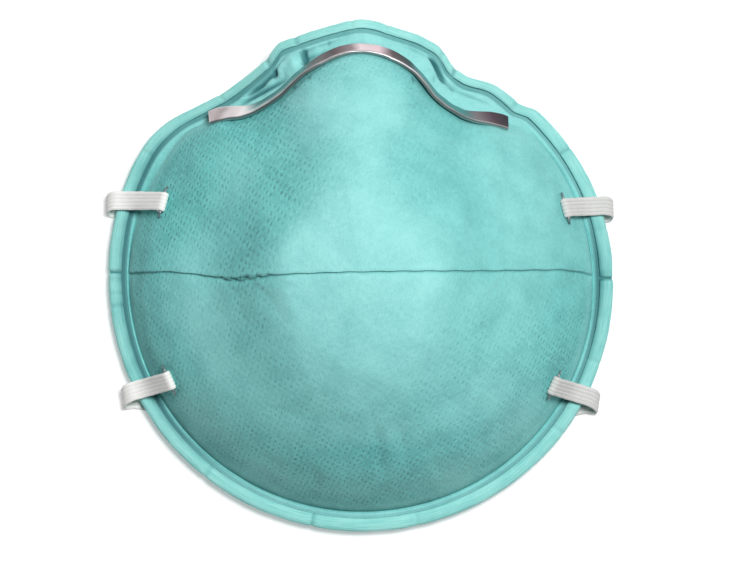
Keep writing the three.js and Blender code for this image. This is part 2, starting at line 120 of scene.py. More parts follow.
RIM = table(
    "angle radius",
    (0, 68.0), (22, 67.0), (36, 65.9), (43, 65.2), (47.5, 63.2), (54, 63.0), (62, 60.9),
    (66.5, 61.9), (70.5, 64.9), (74, 66.0), (82, 67.4), (90, 68.9), (96, 67.9), (103, 66.9),
    (109, 66.5), (113, 64.0), (119, 62.2), (125, 61.6), (133, 63.3), (142, 66.9), (151, 68.4),
    (180, 68.1), (225, 68.6), (270, 68.9), (316, 69.2), (342, 68.6),
)
SECTIONS = table(
    "angle lift tilt crown flank shoulder top foot low",
    (0, 3.0, 0, 48.0, 33.0, 58.2, 10.8, 62.2, 4.1),
    (38, 3.8, 12, 47.8, 32.0, 56.2, 12.4, 59.9, 5.6),
    (47, 5.2, 25, 47.8, 31.6, 54.2, 14.8, 56.8, 8.0),
    (53, 6.7, 31, 47.8, 31.7, 50.6, 18.2, 53.4, 11.2),
    (58.5, 8.2, 35, 47.9, 32.2, 48.8, 20.9, 51.6, 14.0),
    (64, 9.8, 36, 48.2, 33.6, 49.1, 22.2, 52.1, 15.4),
    (70, 11.6, 36, 48.5, 35.7, 50.9, 23.4, 54.1, 16.6),
    (76, 13.0, 36, 48.8, 37.9, 55.0, 24.5, 58.2, 17.7),
    (83, 13.8, 36, 49.1, 39.6, 57.6, 25.3, 60.9, 18.5),
    (90, 14.0, 36, 49.2, 40.2, 58.9, 25.6, 62.1, 18.8),
    (97, 13.7, 36, 49.2, 39.4, 57.6, 25.5, 60.9, 18.8),
    (104, 13.0, 36, 49.0, 37.8, 55.1, 25.0, 58.4, 18.6),
    (111, 11.6, 36, 48.9, 35.6, 52.1, 23.2, 55.3, 17.0),
    (118, 9.7, 36, 48.8, 33.1, 50.6, 20.9, 53.6, 14.6),
    (124, 7.9, 35, 48.7, 31.6, 51.1, 18.3, 53.9, 12.2),
    (129, 6.5, 32, 48.6, 31.0, 53.5, 15.4, 56.2, 9.7),
    (134, 5.3, 27, 48.6, 30.0, 57.0, 13.6, 59.4, 7.6),
    (145, 3.7, 12, 48.7, 29.6, 57.0, 13.0, 61.4, 5.2),
    (180, 3.0, 0, 48.7, 30.0, 58.4, 12.0, 62.4, 4.1),
    (225, 3.0, 0, 48.7, 35.0, 59.4, 11.6, 63.0, 4.3),
    (270, 3.0, 0, 49.0, 38.4, 58.6, 14.6, 63.2, 4.4),
    (315, 3.0, 0, 48.4, 35.8, 59.6, 11.8, 63.4, 4.3),
)
PLEAT = table(
    "x y",
    (-66, 0.7), (-53, 1.3), (-41, 0.2), (-34, -0.6), (-27, 0.1), (-18, 0.7), (10, 1.4), (40, 1.6),
    (53, 1.8), (58.5, 1.3), (61.5, 0.5), (66, -0.9),
)


# %% [markdown]
# A curve through a table's rows must not swing past them, or the cup gets humps between its
# sections. The slope at each row is a mean of the slopes on its two sides, held down where one
# side is much gentler. The same rule draws the rows round the cup and the section across it.

# %% Smooth curves
STEEPEST = 1.7


def row_of(rows, number):
    """One number from each column, out of the row that belongs to its place."""
    return np.take_along_axis(rows, number[None], axis=0)[0]


def smooth_curve(xs, ys, start_slope=None, end_slope=None):
    """A curve through points, with no overshoot. xs and ys may hold a column for each place."""
    span = np.diff(xs, axis=0)
    secant = np.diff(ys, axis=0) / span
    before, after = secant[:-1], secant[1:]
    mean = (before * span[1:] + after * span[:-1]) / (span[:-1] + span[1:])
    limit = STEEPEST * np.minimum(abs(before), abs(after))
    inner = np.where(before * after <= 0, 0, np.clip(mean, -limit, limit))
    first = secant[:1] if start_slope is None else start_slope + 0 * secant[:1]
    last = secant[-1:] if end_slope is None else end_slope + 0 * secant[-1:]
    slopes = np.concatenate([first, inner, last])

    def curve(x):
        x = np.atleast_1d(x)
        knots = [np.broadcast_to(a.reshape(len(a), -1), (len(a), len(x))) for a in (xs, ys, slopes)]
        piece = (x > knots[0][1:-1]).sum(axis=0)
        (x0, y0, m0), (x1, y1, m1) = ([row_of(a, piece + i) for a in knots] for i in (0, 1))
        t = (x - x0) / (x1 - x0)
        from_start = y0 * (1 + 2 * t) + m0 * (x1 - x0) * t
        from_end = y1 * (3 - 2 * t) - m1 * (x1 - x0) * (1 - t)
        return from_start * (1 - t) ** 2 + from_end * t ** 2

    return curve


ALL_ROUND = np.arange(0, 360, 0.25)


def round_curve(source, name):
    """The curve through one column of a table, closed over the full turn."""
    angles = np.concatenate([source["angle"] + turn for turn in (-360, 0, 360)])
    values = smooth_curve(angles, np.tile(source[name], 3))(ALL_ROUND)
    return lambda angle: np.interp(angle, ALL_ROUND, values, period=360)


rim_radius = round_curve(RIM, "radius")
section_curves = {name: round_curve(SECTIONS, name) for name in SECTIONS if name != "angle"}
pleat_curve = smooth_curve(PLEAT["x"], PLEAT["y"])


def pleat_line(x):
    return pleat_curve(np.clip(x, PLEAT["x"][0], PLEAT["x"][-1]))


# %% [markdown]
# A section runs from the apex over the crown and the flank to the shoulder, down the steep wall
# to its foot, and out to the flange that the rim holds. These functions give the height of the
# outside, a point on it and its normal, for many places at once.

# %% Height and normal of the form
SLOPE_STEP = 0.2


def direction_of(x, y):
    """The direction of places from the middle, in degrees."""
    return np.degrees(np.arctan2(y, x))


def section_at(angle):
    """The section's numbers in one or many directions."""
    part = {name: curve(angle) for name, curve in section_curves.items()}
    slope, level = np.tan(np.radians(part["tilt"])), np.cos(np.radians(part["tilt"]))
    middle = rim_radius(angle) - BAND_WIDTH / 2 * level
    start = middle - (BAND_WIDTH / 2 + GROOVE) * level
    flange_low = part["lift"] + FLANGE / 2 / level + (middle - start) * slope
    part.update(slope=slope, level=level, middle=middle, start=start)
    part["foot"] = np.minimum(part["foot"], start - FOOT_ROOM)
    part["low"] = np.maximum(part["low"], flange_low + FOOT_RISE)
    return part


def form_height(x, y):
    """The height of the cup's outside over places on the table."""
    radius = np.hypot(x, y)
    part = section_at(direction_of(x, y))

    def flange(r):
        return part["lift"] + FLANGE / 2 / part["level"] - (r - part["middle"]) * part["slope"]

    def wall(share):
        ends = ("shoulder", "foot"), ("top", "low")
        return [part[a] + (part[b] - part[a]) * share for a, b in ends]

    zero = np.zeros_like(radius)
    knots = [
        [zero, zero + APEX],
        [zero + CROWN_RADIUS, part["crown"]],
        [zero + FLANK_RADIUS, part["flank"]],
        wall(0), wall(WALL_BEND), wall(1 - WALL_BEND), wall(1),
        [part["start"], flange(part["start"])],
    ]
    xs, ys = (np.array([knot[i] for knot in knots]) for i in (0, 1))
    dome = smooth_curve(xs, ys, 0, -part["slope"])
    return np.where(radius < part["start"], dome(np.minimum(radius, part["start"])), flange(radius))


def form_normal(x, y):
    step = SLOPE_STEP
    rise_x = (form_height(x + step, y) - form_height(x - step, y)) / (2 * step)
    rise_y = (form_height(x, y + step) - form_height(x, y - step)) / (2 * step)
    return unit(np.stack([-rise_x, -rise_y, np.ones_like(rise_x)], axis=-1))


def unit(vectors):
    return vectors / np.linalg.norm(vectors, axis=-1, keepdims=True)


def form_point(x, y):
    return np.stack([x, y, form_height(x, y)], axis=-1)


_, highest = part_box("cup_shell")
apex = form_height(np.zeros(1), np.zeros(1))[0]
print("the form's apex is", round(apex, 2), "mm high, the frame's cup", round(highest.z / MM, 2))


# %% [markdown]
# ## Reading and moving points
#
# Two helpers read a mesh's points as millimetres and write them back, so that a piece can be
# modelled flat, as it was cut, and then pressed or bent. A third deselects everything before a
# primitive is added, because an operator works on all that is selected.

# %% Helpers for meshes
def start_fresh():
    if bpy.context.object and bpy.context.object.mode != "OBJECT":
        bpy.ops.object.mode_set(mode="OBJECT")
    bpy.ops.object.select_all(action="DESELECT")


@contextmanager
def all_selected():
    """Edit mode for a while, with the whole mesh selected."""
    bpy.ops.object.mode_set(mode="EDIT")
    bpy.ops.mesh.select_all(action="SELECT")
    yield
    bpy.ops.object.mode_set(mode="OBJECT")


def points_of(piece):
    flat = np.empty(len(piece.data.vertices) * 3, np.float32)
    piece.data.vertices.foreach_get("co", flat)
    return flat.reshape(-1, 3).astype(float) / MM


def move_points(piece, points):
    piece.data.vertices.foreach_set("co", (points * MM).astype(np.float32).ravel())
    piece.data.update()


def apply_modifier(piece, kind, **settings):
    modifier = piece.modifiers.new(kind.title(), kind)
    for name, value in settings.items():
        setattr(modifier, name, value)
    bpy.context.view_layer.objects.active = piece
    bpy.ops.object.modifier_apply(modifier=modifier.name)


def write_uv(piece, u, v):
    """Keeps a flat place for each point, in metres, for patterns that follow the surface."""
    corners = np.empty(len(piece.data.loops), np.int32)
    piece.data.loops.foreach_get("vertex_index", corners)
    layer = piece.data.uv_layers.get("cloth") or piece.data.uv_layers.new(name="cloth")
    places = np.stack([u, v], axis=-1)[corners].astype(np.float32)
    layer.data.foreach_set("uv", places.ravel() * MM)


def write_shares(piece, **shares):
    """Keeps shares from 0 to 1 at each point, such as how much painted shade the cloth takes."""
    for name, values in shares.items():
        layer = piece.data.attributes.new(name, "FLOAT", "POINT")
        layer.data.foreach_set("value", np.asarray(values, np.float32))


def finish_piece(piece, name, material, slot, *nodes):
    """Names a piece, attaches it, hides its frame parts and prints its size. A material of None
    keeps those it has.
    """
    piece.name = name
    piece.data.name = name
    if material:
        piece.data.materials.clear()
        piece.data.materials.append(material)
    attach(piece, "root")
    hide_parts(*nodes)
    low, high = (np.array(f(points_of(piece), axis=0)) for f in (np.min, np.max))
    print(name, "is", (high - low).round(1), "mm with", len(piece.data.polygons), "faces")


# %% [markdown]
# ## Finishes
#
# A finish is a handful of nodes. Written out node by node it is hard to read, so a small class
# wraps a socket, and then sums and products of sockets are written as they are on paper.

# %% A socket that can be added and multiplied
def math_node(operation, turned_round=False):
    """A method that adds a Math node for its socket and the other values."""
    def method(self, *others):
        values = (*others, self) if turned_round else (self, *others)
        return self.finish.node("ShaderNodeMath", {"operation": operation}, *values)
    return method


class Wire:
    """A socket in a finish. An expression on it adds Math nodes."""

    def __init__(self, finish, socket):
        self.finish, self.socket = finish, socket

    __add__ = __radd__ = math_node("ADD")
    __mul__ = __rmul__ = math_node("MULTIPLY")
    __sub__, __rsub__ = math_node("SUBTRACT"), math_node("SUBTRACT", turned_round=True)
    __truediv__, __pow__ = math_node("DIVIDE"), math_node("POWER")
    __abs__, fraction = math_node("ABSOLUTE"), math_node("FRACT")

    def rises(self, low, high):
        """0 below low, 1 above high, and smooth between."""
        settings = {"interpolation_type": "SMOOTHSTEP"}
        return self.finish.node("ShaderNodeMapRange", settings, self, low, high, 0.0, 1.0)


# %% [markdown]
# A finish is a material with one Principled shader. One method makes any node: it takes the
# node's type, its settings, and the values or links of its sockets. What is the same all over
# the surface is set on the shader's own sockets, and what changes over it is fed by nodes.

# %% A finish and its nodes
class Finish:
    """A material with one Principled shader, and the nodes that feed it."""

    def __init__(self, name, **constants):
        self.material = bpy.data.materials.new(name)
        self.material.use_nodes = True
        self.tree = self.material.node_tree
        self.shader = self.tree.nodes["Principled BSDF"]
        for socket, value in constants.items():
            self.feed(socket.replace("_", " "), value)

    def node(self, kind, settings, *values, out=0, **named):
        made = self.tree.nodes.new(kind)
        for name, value in settings.items():
            setattr(made, name, value)
        for key, value in [*enumerate(values), *named.items()]:
            self.give(made.inputs[key], value)
        return Wire(self, made.outputs[out])

    def give(self, socket, value):
        if isinstance(value, Wire):
            self.tree.links.new(value.socket, socket)
        else:
            socket.default_value = value

    def feed(self, socket, value):
        self.give(self.shader.inputs[socket], value)

    def place(self):
        return self.node("ShaderNodeTexCoord", {}, out="Object")

    def flat_place(self):
        return self.node("ShaderNodeUVMap", {"uv_map": "cloth"})

    def share(self, name):
        return self.node("ShaderNodeAttribute", {"attribute_name": name}, out="Fac")

    def split(self, vector):
        made = self.node("ShaderNodeSeparateXYZ", {}, vector)
        return [Wire(self, socket) for socket in made.socket.node.outputs]

    def join(self, x, y, z=0.0):
        return self.node("ShaderNodeCombineXYZ", {}, x, y, z)

    def stretch(self, vector, *scales):
        settings = {"operation": "MULTIPLY"}
        return self.node("ShaderNodeVectorMath", settings, vector, scales)

    def cloud(self, vector, size, detail=2.0, roughness=0.5):
        """Noise whose lumps are about so many millimetres wide."""
        return self.node("ShaderNodeTexNoise", {}, Vector=vector, Scale=1 / (size * MM),
                         Detail=detail, Roughness=roughness)

    def blend_colours(self, share, first, second):
        made = self.node("ShaderNodeMix", {"data_type": "RGBA"}, share)
        colours = [socket for socket in made.socket.node.inputs if socket.type == "RGBA"]
        for socket, value in zip(colours, (first, second)):
            self.give(socket, value)
        result = [socket for socket in made.socket.node.outputs if socket.type == "RGBA"]
        return Wire(self, result[0])

    def tint(self, share, dark, light):
        """From dark to light as the share rises from 0 to 1."""
        return self.blend_colours(share.rises(0, 1), colour(*dark), colour(*light))

    def relief(self, height):
        """Turns a height in millimetres into a bumped normal."""
        bump = self.node("ShaderNodeBump", {}, Height=height, Strength=1.0, Distance=MM)
        self.feed("Normal", bump)


def colour(red, green, blue):
    """A colour given as it looks on a screen, from 0 to 255."""
    def linear(value):
        share = value / 255
        return share / 12.92 if share <= 0.04045 else ((share + 0.055) / 1.055) ** 2.4
    return (linear(red), linear(green), linear(blue), 1.0)


# %% [markdown]
# ### The cup's cloth
#
# The outside is a non-woven polyester web, embossed with rows of small slanted dimples in a
# skew lattice and pressed over the mould. A weave node or an image could draw it, but the
# lattice is simple to count: each of its two ways says how many rows there are to a millimetre
# across and up, and what is left of the two row numbers gives the place in the dimple. The
# embossing is crisp in some patches and pressed flat in others. Fibres and slanted strokes are
# fine noise, and the mould's uneven pull shows as broad soft patches. The steep sides are painted
# in a deeper tone than the top, as painted shade, and the groove by the rim, the pleat's line,
# the folds and the pin marks are painted darker still, as painted shade. The thin web over the
# nose also has random darker blotches.

# %% Cup finish
FIRST_WAY = (0.51, -0.22)
SECOND_WAY = (0.255, 0.345)
DIMPLE_LEAN = 0.3
DIMPLE_SHAPE = (1.5, 0.42)
DIMPLE_REACH = 0.72
DIMPLE_MEAN = 0.36
DIMPLE_DEPTH = 0.17
LEAST_CRISP = 0.06
DIMPLE_TONE = 0.6
FUZZ_DEPTH = 0.16
FIBRE_DEPTH = 0.05
STROKE_TONE = 1.6
# The dark tone of the painted shade in grooves, folds, creases and pin marks, also used for random
# darker blotches and for the roll's darker places.
SHADE_AND_DARK_TONE = colour(52, 122, 126)


def cup_finish():
    finish = Finish("teal_nonwoven", Roughness=0.66, Sheen_Weight=0.06, Sheen_Roughness=0.5,
                    Specular_IOR_Level=0.5)
    flat = finish.flat_place()
    u, v, _ = finish.split(flat)
    sway = finish.cloud(flat, 5, 3, 0.6)
    ways = (FIRST_WAY, SECOND_WAY)
    numbers = [(u * way_u + v * way_v) / MM + (sway - 0.5) for way_u, way_v in ways]
    first, second = (number.fraction() - 0.5 for number in numbers)
    (a, b), (c, d) = np.linalg.inv(ways).tolist()
    right, up = first * a + second * b, first * c + second * d
    leaning = right - up * DIMPLE_LEAN
    narrow, short = DIMPLE_SHAPE
    spread = (leaning * leaning * narrow + up * up * short) ** 0.5
    dimple = 1 - spread.rises(0.0, DIMPLE_REACH)
    fibre = finish.cloud(flat, 0.5, 4, 0.7)
    fuzz = finish.cloud(flat, 1.7, 4, 0.65)
    strokes = finish.cloud(finish.join(u - v * DIMPLE_LEAN, v * 0.3), 0.42, 3, 0.6)
    crisp = finish.cloud(flat, 4, 4, 0.65).rises(0.34, 0.6) * finish.share("embossed")
    pits = dimple * (crisp + LEAST_CRISP) * DIMPLE_DEPTH
    finish.relief(fibre * FIBRE_DEPTH + fuzz * FUZZ_DEPTH - pits)
    patch = finish.cloud(flat, 12, 4, 0.6)
    tone = (patch - 0.5) * 1.0 + (fuzz - 0.5) * 0.5 + (fibre - 0.5) * 0.7 + 0.55
    tone = tone + (DIMPLE_MEAN - dimple) * crisp * DIMPLE_TONE
    tone = tone + (strokes - 0.5) * (crisp + 0.25) * STROKE_TONE
    # Painted shade: the steep sides take the deeper side colour, and the top the lighter one.
    top = finish.tint(tone, (126, 205, 203), (160, 233, 229))
    side = finish.tint(tone, (76, 160, 160), (118, 210, 206))
    cloth = finish.blend_colours(finish.share("lip_pull_and_painted_shade"), top, side)
    # Painted shade: the groove by the rim, the pleat's line, the folds and the pin marks take the
    # dark tone, and so do random darker blotches on the thin web over the nose.
    finish.feed("Base Color", finish.blend_colours(finish.share("pressed"), cloth, SHADE_AND_DARK_TONE))
    return finish.material


def inside_finish():
    finish = Finish("pale_inner_web", Roughness=0.95, Sheen_Weight=0.1)
    place = finish.place()
    fibre = finish.cloud(place, 0.6, 4, 0.7)
    patch = finish.cloud(place, 12, 2)
    finish.relief(fibre * 0.08)
    tone = (patch - 0.5) * 0.6 + (fibre - 0.5) * 0.5 + 0.5
    finish.feed("Base Color", finish.tint(tone, (222, 230, 229), (242, 246, 245)))
    return finish.material


cup_cloth = cup_finish()
inner_web = inside_finish()


# %% [markdown]
# ## The cup
#
# The blank starts as a flat disc: a circle that is extruded inwards ring by ring, with each
# ring's number as its radius on the disc. Ring 4 is the flange's hidden edge, 3 its inner edge,
# 2 the foot of the steep wall, 1 its shoulder and 0 the middle. Pressing then only has to send
# each point's ring and direction to its place on the form. The spokes lie close together beside
# the pleat, over the nose, where the web is crumpled, and at the chin across from it. The rings
# lie close at the very middle, so that the pleat's line runs on over the apex.

# %% A flat disc of rings and spokes
PLEAT_SIDE = [0.05, 0.2, 0.4, 0.65, 0.95, 1.35, 1.85, 2.5, 3.3, 4.2]
PLAIN_SIDE = list(np.arange(5.2, 56, 1.3)) + list(np.arange(56, 90, 0.6))
quarter_turn = PLEAT_SIDE + PLAIN_SIDE
half_turn = quarter_turn + [90.0] + [180 - angle for angle in quarter_turn[::-1]]
spoke_angles = np.array(half_turn + [angle + 180 for angle in half_turn])
SPOKES = len(spoke_angles)

DOME_RINGS = 58
APEX_RINGS = np.array([2.6, 2.25, 1.9, 1.6, 1.3, 1.0, 0.7, 0.35])
RING_RUNS = [
    (4, 3.4, 3), (3.4, 3, 9), (3, 2, 12), (2, 1, 14), (1, 3 / DOME_RINGS, DOME_RINGS - 3),
]
runs = [np.linspace(start, end, count + 1)[1:] for start, end, count in RING_RUNS]
ring_steps = np.concatenate([[4.0], *runs, APEX_RINGS / DOME_RINGS])
DISC_RING = 10 * MM


def make_disc():
    start_fresh()
    bpy.ops.mesh.primitive_circle_add(vertices=SPOKES, radius=ring_steps[0] * DISC_RING)
    disc = bpy.context.object
    with all_selected():
        for outer, inner in zip(ring_steps, ring_steps[1:]):
            bpy.ops.mesh.extrude_region_move()
            bpy.ops.transform.resize(value=(inner / outer,) * 3, center_override=(0, 0, 0))
        bpy.ops.mesh.extrude_region_move()
        bpy.ops.mesh.merge(type="CENTER")
    x, y, z = points_of(disc).T
    half_step = math.pi / SPOKES
    angle, radius = np.arctan2(y, x) + half_step, np.hypot(x, y)
    move_points(disc, np.stack([radius * np.cos(angle), radius * np.sin(angle), 0 * z], axis=-1))
    return disc


cup = make_disc()
print("the blank has", SPOKES, "spokes and", len(ring_steps), "rings")


# %% [markdown]
# Nearly everything on the cup fades out somewhere: a fold before the rim, a lip away from its
# line. Sharp ends would show as steps, so a few small helpers do the fading.

# %% Fades, mounds and circles
def smoothstep(x, low, high):
    """0 at low, 1 at high and smooth between. It falls where low is the greater of the two."""
    t = np.clip((x - low) / (high - low), 0, 1)
    return t * t * (3 - 2 * t)


def fades(x, low, high):
    """1 below low, 0 above high and smooth between."""
    return 1 - smoothstep(x, low, high)


def mound(x, width):
    """1 where x is 0, with soft sides that fall away over the width."""
    return np.exp(-(x / width) ** 2)


def on_circle(angle, radius=1.0):
    """Places on a circle round the middle."""
    turn = np.radians(angle)
    return radius * np.cos(turn), radius * np.sin(turn)


# %% [markdown]
# The pleat crosses the front from side to side, so the disc's level spokes are laid along it,
# and spokes crowd on both sides of it to draw its sharp lip. Towards the middle they spread out
# again, because there all the spokes are close. On the dome the rings follow the pleat, and from
# the shoulder outwards they are pulled back to the section's own places.

# %% Where each point of the disc goes
EVEN_SPOKES_TO = (1, 14)
PLEAT_SPREADS = (2, 26)
PULL_RINGS = (0.4, 1)


def ring_radius(part, ring):
    lines = np.stack([0 * part["start"], part["shoulder"], part["foot"], part["start"],
                      part["middle"] + (GAP - ROOM) * part["level"]])
    line = np.clip(np.floor(ring).astype(int), 0, 3)
    inner, outer = row_of(lines, line), row_of(lines, line + 1)
    return inner + (outer - inner) * (ring - line)


def place_on_form(disc_x, disc_y):
    """Sends places on the disc to places on the table, under the form."""
    ring = np.hypot(disc_x, disc_y) * MM / DISC_RING
    even = direction_of(disc_x, disc_y) % 360
    number = even * SPOKES / 360 - 0.5
    wrapped = np.concatenate([[spoke_angles[-1] - 360], spoke_angles, [spoke_angles[0] + 360]])
    angle = np.interp(number, np.arange(-1, SPOKES + 1), wrapped)
    shoulder = section_at(angle)["shoulder"]
    angle = even + (angle - even) * smoothstep(ring * shoulder, *EVEN_SPOKES_TO)
    radius = ring_radius(section_at(angle), ring)
    x, y = on_circle(angle, radius)
    level = np.cos(np.radians(angle)) ** 2
    y = y + pleat_line(x) * (1 + (level - 1) * smoothstep(radius, *PLEAT_SPREADS))
    wanted = ring_radius(section_at(direction_of(x, y)), ring)
    pull = smoothstep(ring, *PULL_RINGS)
    scale = 1 + (wanted / np.maximum(np.hypot(x, y), 1e-6) - 1) * pull
    return x * scale, y * scale, ring


# %% [markdown]
# ### Folds and dents
#
# A pressed web is never as smooth as its mould. Each fold is a row: where it starts and ends,
# how far its middle bends to the left of that line, how wide it is, and how far it rises, or
# sinks where the number is negative. The thin web between the wall and the rim is crumpled over
# the nose, and its folds have a table of their own. The numbers were chosen one by one.

# %% Tables of folds
FOLDS = table(
    "x1 y1 x2 y2 bend width rise",
    (-29.9, -0.6, -27.4, -3.2, 0, 0.7, -0.4), (-27.2, -0.8, -24.6, -3.4, 0, 0.9, 0.3),
    (-26.5, -4.2, -20.0, -13.0, 0.5, 1.3, -0.28), (-20.0, -2.2, -16.0, -11.5, -0.6, 1.7, 0.22),
    (-33.5, -2.0, -36.5, -8.5, 0.4, 1.4, 0.2), (-22.8, -0.8, -19.0, -3.0, 0, 0.8, -0.25),
    (39.3, 1.0, 34.2, -5.8, 0.4, 0.8, -0.4), (36.9, 0.6, 32.0, -5.0, 0.4, 1.4, 0.22),
    (50.4, 16.4, 51.0, 9.4, 0.3, 0.7, -0.2), (52.2, 15.0, 53.0, 8.6, 0.3, 0.7, -0.2),
    (48.6, 14.2, 49.2, 10.2, 0.2, 0.8, -0.15), (53.6, 12.6, 54.6, 4.8, 0.4, 0.8, -0.16),
    (3.0, -38.5, 5.4, -54.5, 0.6, 1.3, -0.4), (10.2, -40.0, 12.4, -53.0, 0.5, 1.2, -0.32),
    (-4.2, -46.0, -3.0, -57.0, -0.4, 1.2, -0.3), (6.8, -40.0, 8.8, -54.0, 0.3, 1.4, 0.3),
    (18.0, -47.0, 22.0, -55.0, 0.4, 1.3, -0.26), (-14.0, -50.0, -12.0, -57.0, 0.3, 1.2, -0.26),
    (-50.8, -12.0, -53.5, -24.0, -0.8, 1.2, -0.2), (-46.0, 20.0, -50.5, 8.0, 0.6, 2.0, 0.22),
    (-21.6, 45.6, -20.8, 43.8, 0, 1.2, -0.3), (-12.2, 52.6, -10.8, 51.6, 0, 0.9, -0.3),
)
WEB_FOLDS = table(
    "x1 y1 x2 y2 bend width rise",
    (-16.1, 62.4, -15.2, 57.2, 0.3, 0.8, -1.5), (-18.8, 58.6, -18.0, 55.4, 0.2, 1.5, 1.2),
    (-23.8, 56.4, -23.2, 53.2, 0.2, 0.6, -0.9), (-20.7, 55.6, -20.4, 53.4, 0, 0.55, -0.5),
    (-21.0, 59.6, -30.6, 49.2, 0.6, 0.8, -1.5), (-24.6, 52.6, -34.0, 46.6, -0.4, 1.1, 0.9),
    (-22.2, 56.0, -21.8, 54.0, 0, 0.7, 0.5), (-12.4, 62.6, -11.6, 59.0, 0, 0.8, 0.4),
    (17.0, 61.2, 22.1, 52.9, 0.7, 0.8, -1.6), (15.2, 58.6, 18.6, 54.6, 0.2, 1.6, 0.9),
    (11.4, 63.2, 16.2, 60.4, 0.2, 0.8, -1.1), (20.2, 53.6, 19.3, 52.2, 0, 0.6, -0.5),
    (22.6, 55.4, 24.0, 52.6, 0.2, 0.9, 0.7), (25.0, 51.6, 36.0, 46.8, 0.6, 1.6, 0.5),
    (-36.0, 46.2, -26.0, 51.4, 0.6, 0.6, -0.8), (-9.0, 64.6, -8.4, 61.6, 0, 0.6, -0.4),
    (24.6, 50.2, 35.2, 45.8, 0.3, 0.6, -0.7), (-15.0, 60.6, -6.0, 63.8, 0.4, 0.6, -0.5),
    (-23.6, 54.4, -31.0, 48.4, 0.4, 0.8, -1.1), (19.4, 58.4, 24.6, 50.4, -0.5, 0.8, -0.9),
    (-33.0, 45.9, -20.0, 53.0, 0.0, 0.6, -1.1), (-25.2, 57.0, -22.6, 54.0, 0.3, 0.6, -0.6),
    (-22.0, 57.6, -19.8, 53.4, 0.2, 1.1, 0.6), (-16.6, 56.6, -9.0, 60.6, 0.5, 0.6, -0.6),
)


# %% [markdown]
# Broad swells are rows too: the middle, the width and height of a soft oval, how far it is
# turned, and its rise. Shade patches are ovals of the same kind, but they raise no relief: they
# paint the web's tone darker than its slope gives, as painted shade, and with a negative number,
# lighter.
# The pin marks are the little dents of the tool that pressed the web.

# %% Tables of swells, shade patches and pin marks
SWELLS = table(
    "x y wide tall turn rise",
    (-46, 15, 7, 14, 12, -1.2), (-26, 20, 6, 18, 8, 0.8), (-56, 4, 4, 10, 0, 0.4),
    (-28, 38, 8, 7, 30, -0.6), (-10, 36, 7, 12, 10, 0.6), (20, 40, 6, 7, 30, -0.6),
    (33, 8, 7, 12, 0, -0.5), (47, 18, 6, 12, -14, 0.9), (27, 30, 8, 10, -30, 0.4),
    (-46, -18, 7, 10, 20, -0.7), (-22, -24, 8, 10, 0, 0.6), (8, -22, 12, 8, 0, 0.4),
    (36, -26, 9, 12, -20, 0.5), (6, -46, 10, 7, 0, -0.6), (-36, -38, 7, 7, 30, 0.5),
    (26, -46, 7, 6, 20, 0.5), (50, -6, 5, 8, 0, -0.4), (-50, -24, 5, 8, -10, 0.5),
)
# Painted shade: each patch darkens the web's colour, or lightens it where the number is negative.
SHADE_PATCHES = table(
    "x y wide tall turn rise",
    (-44, 21, 9, 15, -12, 0.7), (-28, 36, 9, 7, 30, 0.5), (-15, 47, 6, 5, 0, -0.5),
    (-46, 42, 6, 5, 0, -0.5), (44, 42, 8, 6, 0, -0.5), (-28, -56, 8, 5, 20, -0.5),
    (28, -57, 9, 5, -20, -0.6), (2, -11, 16, 8, 0, 0.15), (4, 44, 10, 5, 0, -0.2),
    (-43, -39, 11, 9, 30, -0.35), (43, -39, 12, 10, -30, -0.4), (0, -53, 13, 7, 0, 0.75),
    (-30, -8, 12, 8, 0, -0.2), (38, -8, 10, 10, 0, -0.15), (30, 24, 5, 12, 20, 0.15),
)
PIN_MARKS = table(
    "x y width rise",
    (-14.0, 53.3, 0.4, -0.5), (-18.0, 50.5, 0.4, -0.45), (14.1, 52.7, 0.35, -0.45),
)


# %% [markdown]
# A fold is a bent line cut into short straight runs. For each place the nearest run counts, and
# the fold is shallow at its ends, as real ones are. Folds and swells could be sculpted or driven
# by an image, but added up like this each one can be moved by changing its row.

# %% Folds added up
FOLD_STEPS = 8
END_SHARE = 0.15


def folds_at(folds, x, y):
    total = np.zeros_like(x)
    ways = np.linspace(0, 1, FOLD_STEPS + 1)
    for x1, y1, x2, y2, bend, width, rise in each_row(folds):
        length = math.hypot(x2 - x1, y2 - y1)
        sag = 4 * bend * ways * (1 - ways)
        line_x = x1 + (x2 - x1) * ways - (y2 - y1) / length * sag
        line_y = y1 + (y2 - y1) * ways + (x2 - x1) / length * sag
        off, share = np.full_like(x, np.inf), np.zeros_like(x)
        for i, (run_x, run_y) in enumerate(zip(np.diff(line_x), np.diff(line_y))):
            from_x, from_y = x - line_x[i], y - line_y[i]
            t = np.clip((from_x * run_x + from_y * run_y) / (run_x ** 2 + run_y ** 2), 0, 1)
            here = np.hypot(from_x - t * run_x, from_y - t * run_y)
            share = np.where(here < off, (i + t) / FOLD_STEPS, share)
            off = np.minimum(off, here)
        taper = np.sin(np.pi * (END_SHARE + (1 - 2 * END_SHARE) * share))
        total += rise * mound(off, width) * taper
    return total


def swells_at(swells, x, y):
    total = np.zeros_like(x)
    for mx, my, wide, tall, turn, rise in each_row(swells):
        c, s = math.cos(math.radians(turn)), math.sin(math.radians(turn))
        a, b = (x - mx) * c + (y - my) * s, (y - my) * c - (x - mx) * s
        total += rise * np.exp(-(a / wide) ** 2 - (b / tall) ** 2)
    return total


def lumps(points, size, seed):
    """Smooth random heights, between about -1 and 1, that come out the same every time."""
    shift = Vector((seed * 7.3, seed * 3.1, seed * 5.7))
    return np.array([noise.noise(Vector(p) / size + shift) for p in points])


# %% [markdown]
# ### The pleat
#
# The pleat is a lip over a pressed line. Above the line the web stands a little proud and fades
# back, and below it lies a narrow groove. At one place on the left both are crumpled together.

# %% The pleat's relief
LIP_RISE = 0.36
LIP_FADE = 14.0
PLEAT_LINE = 0.3
CRUMPLE_AT, CRUMPLE_WIDTH = -31, 7


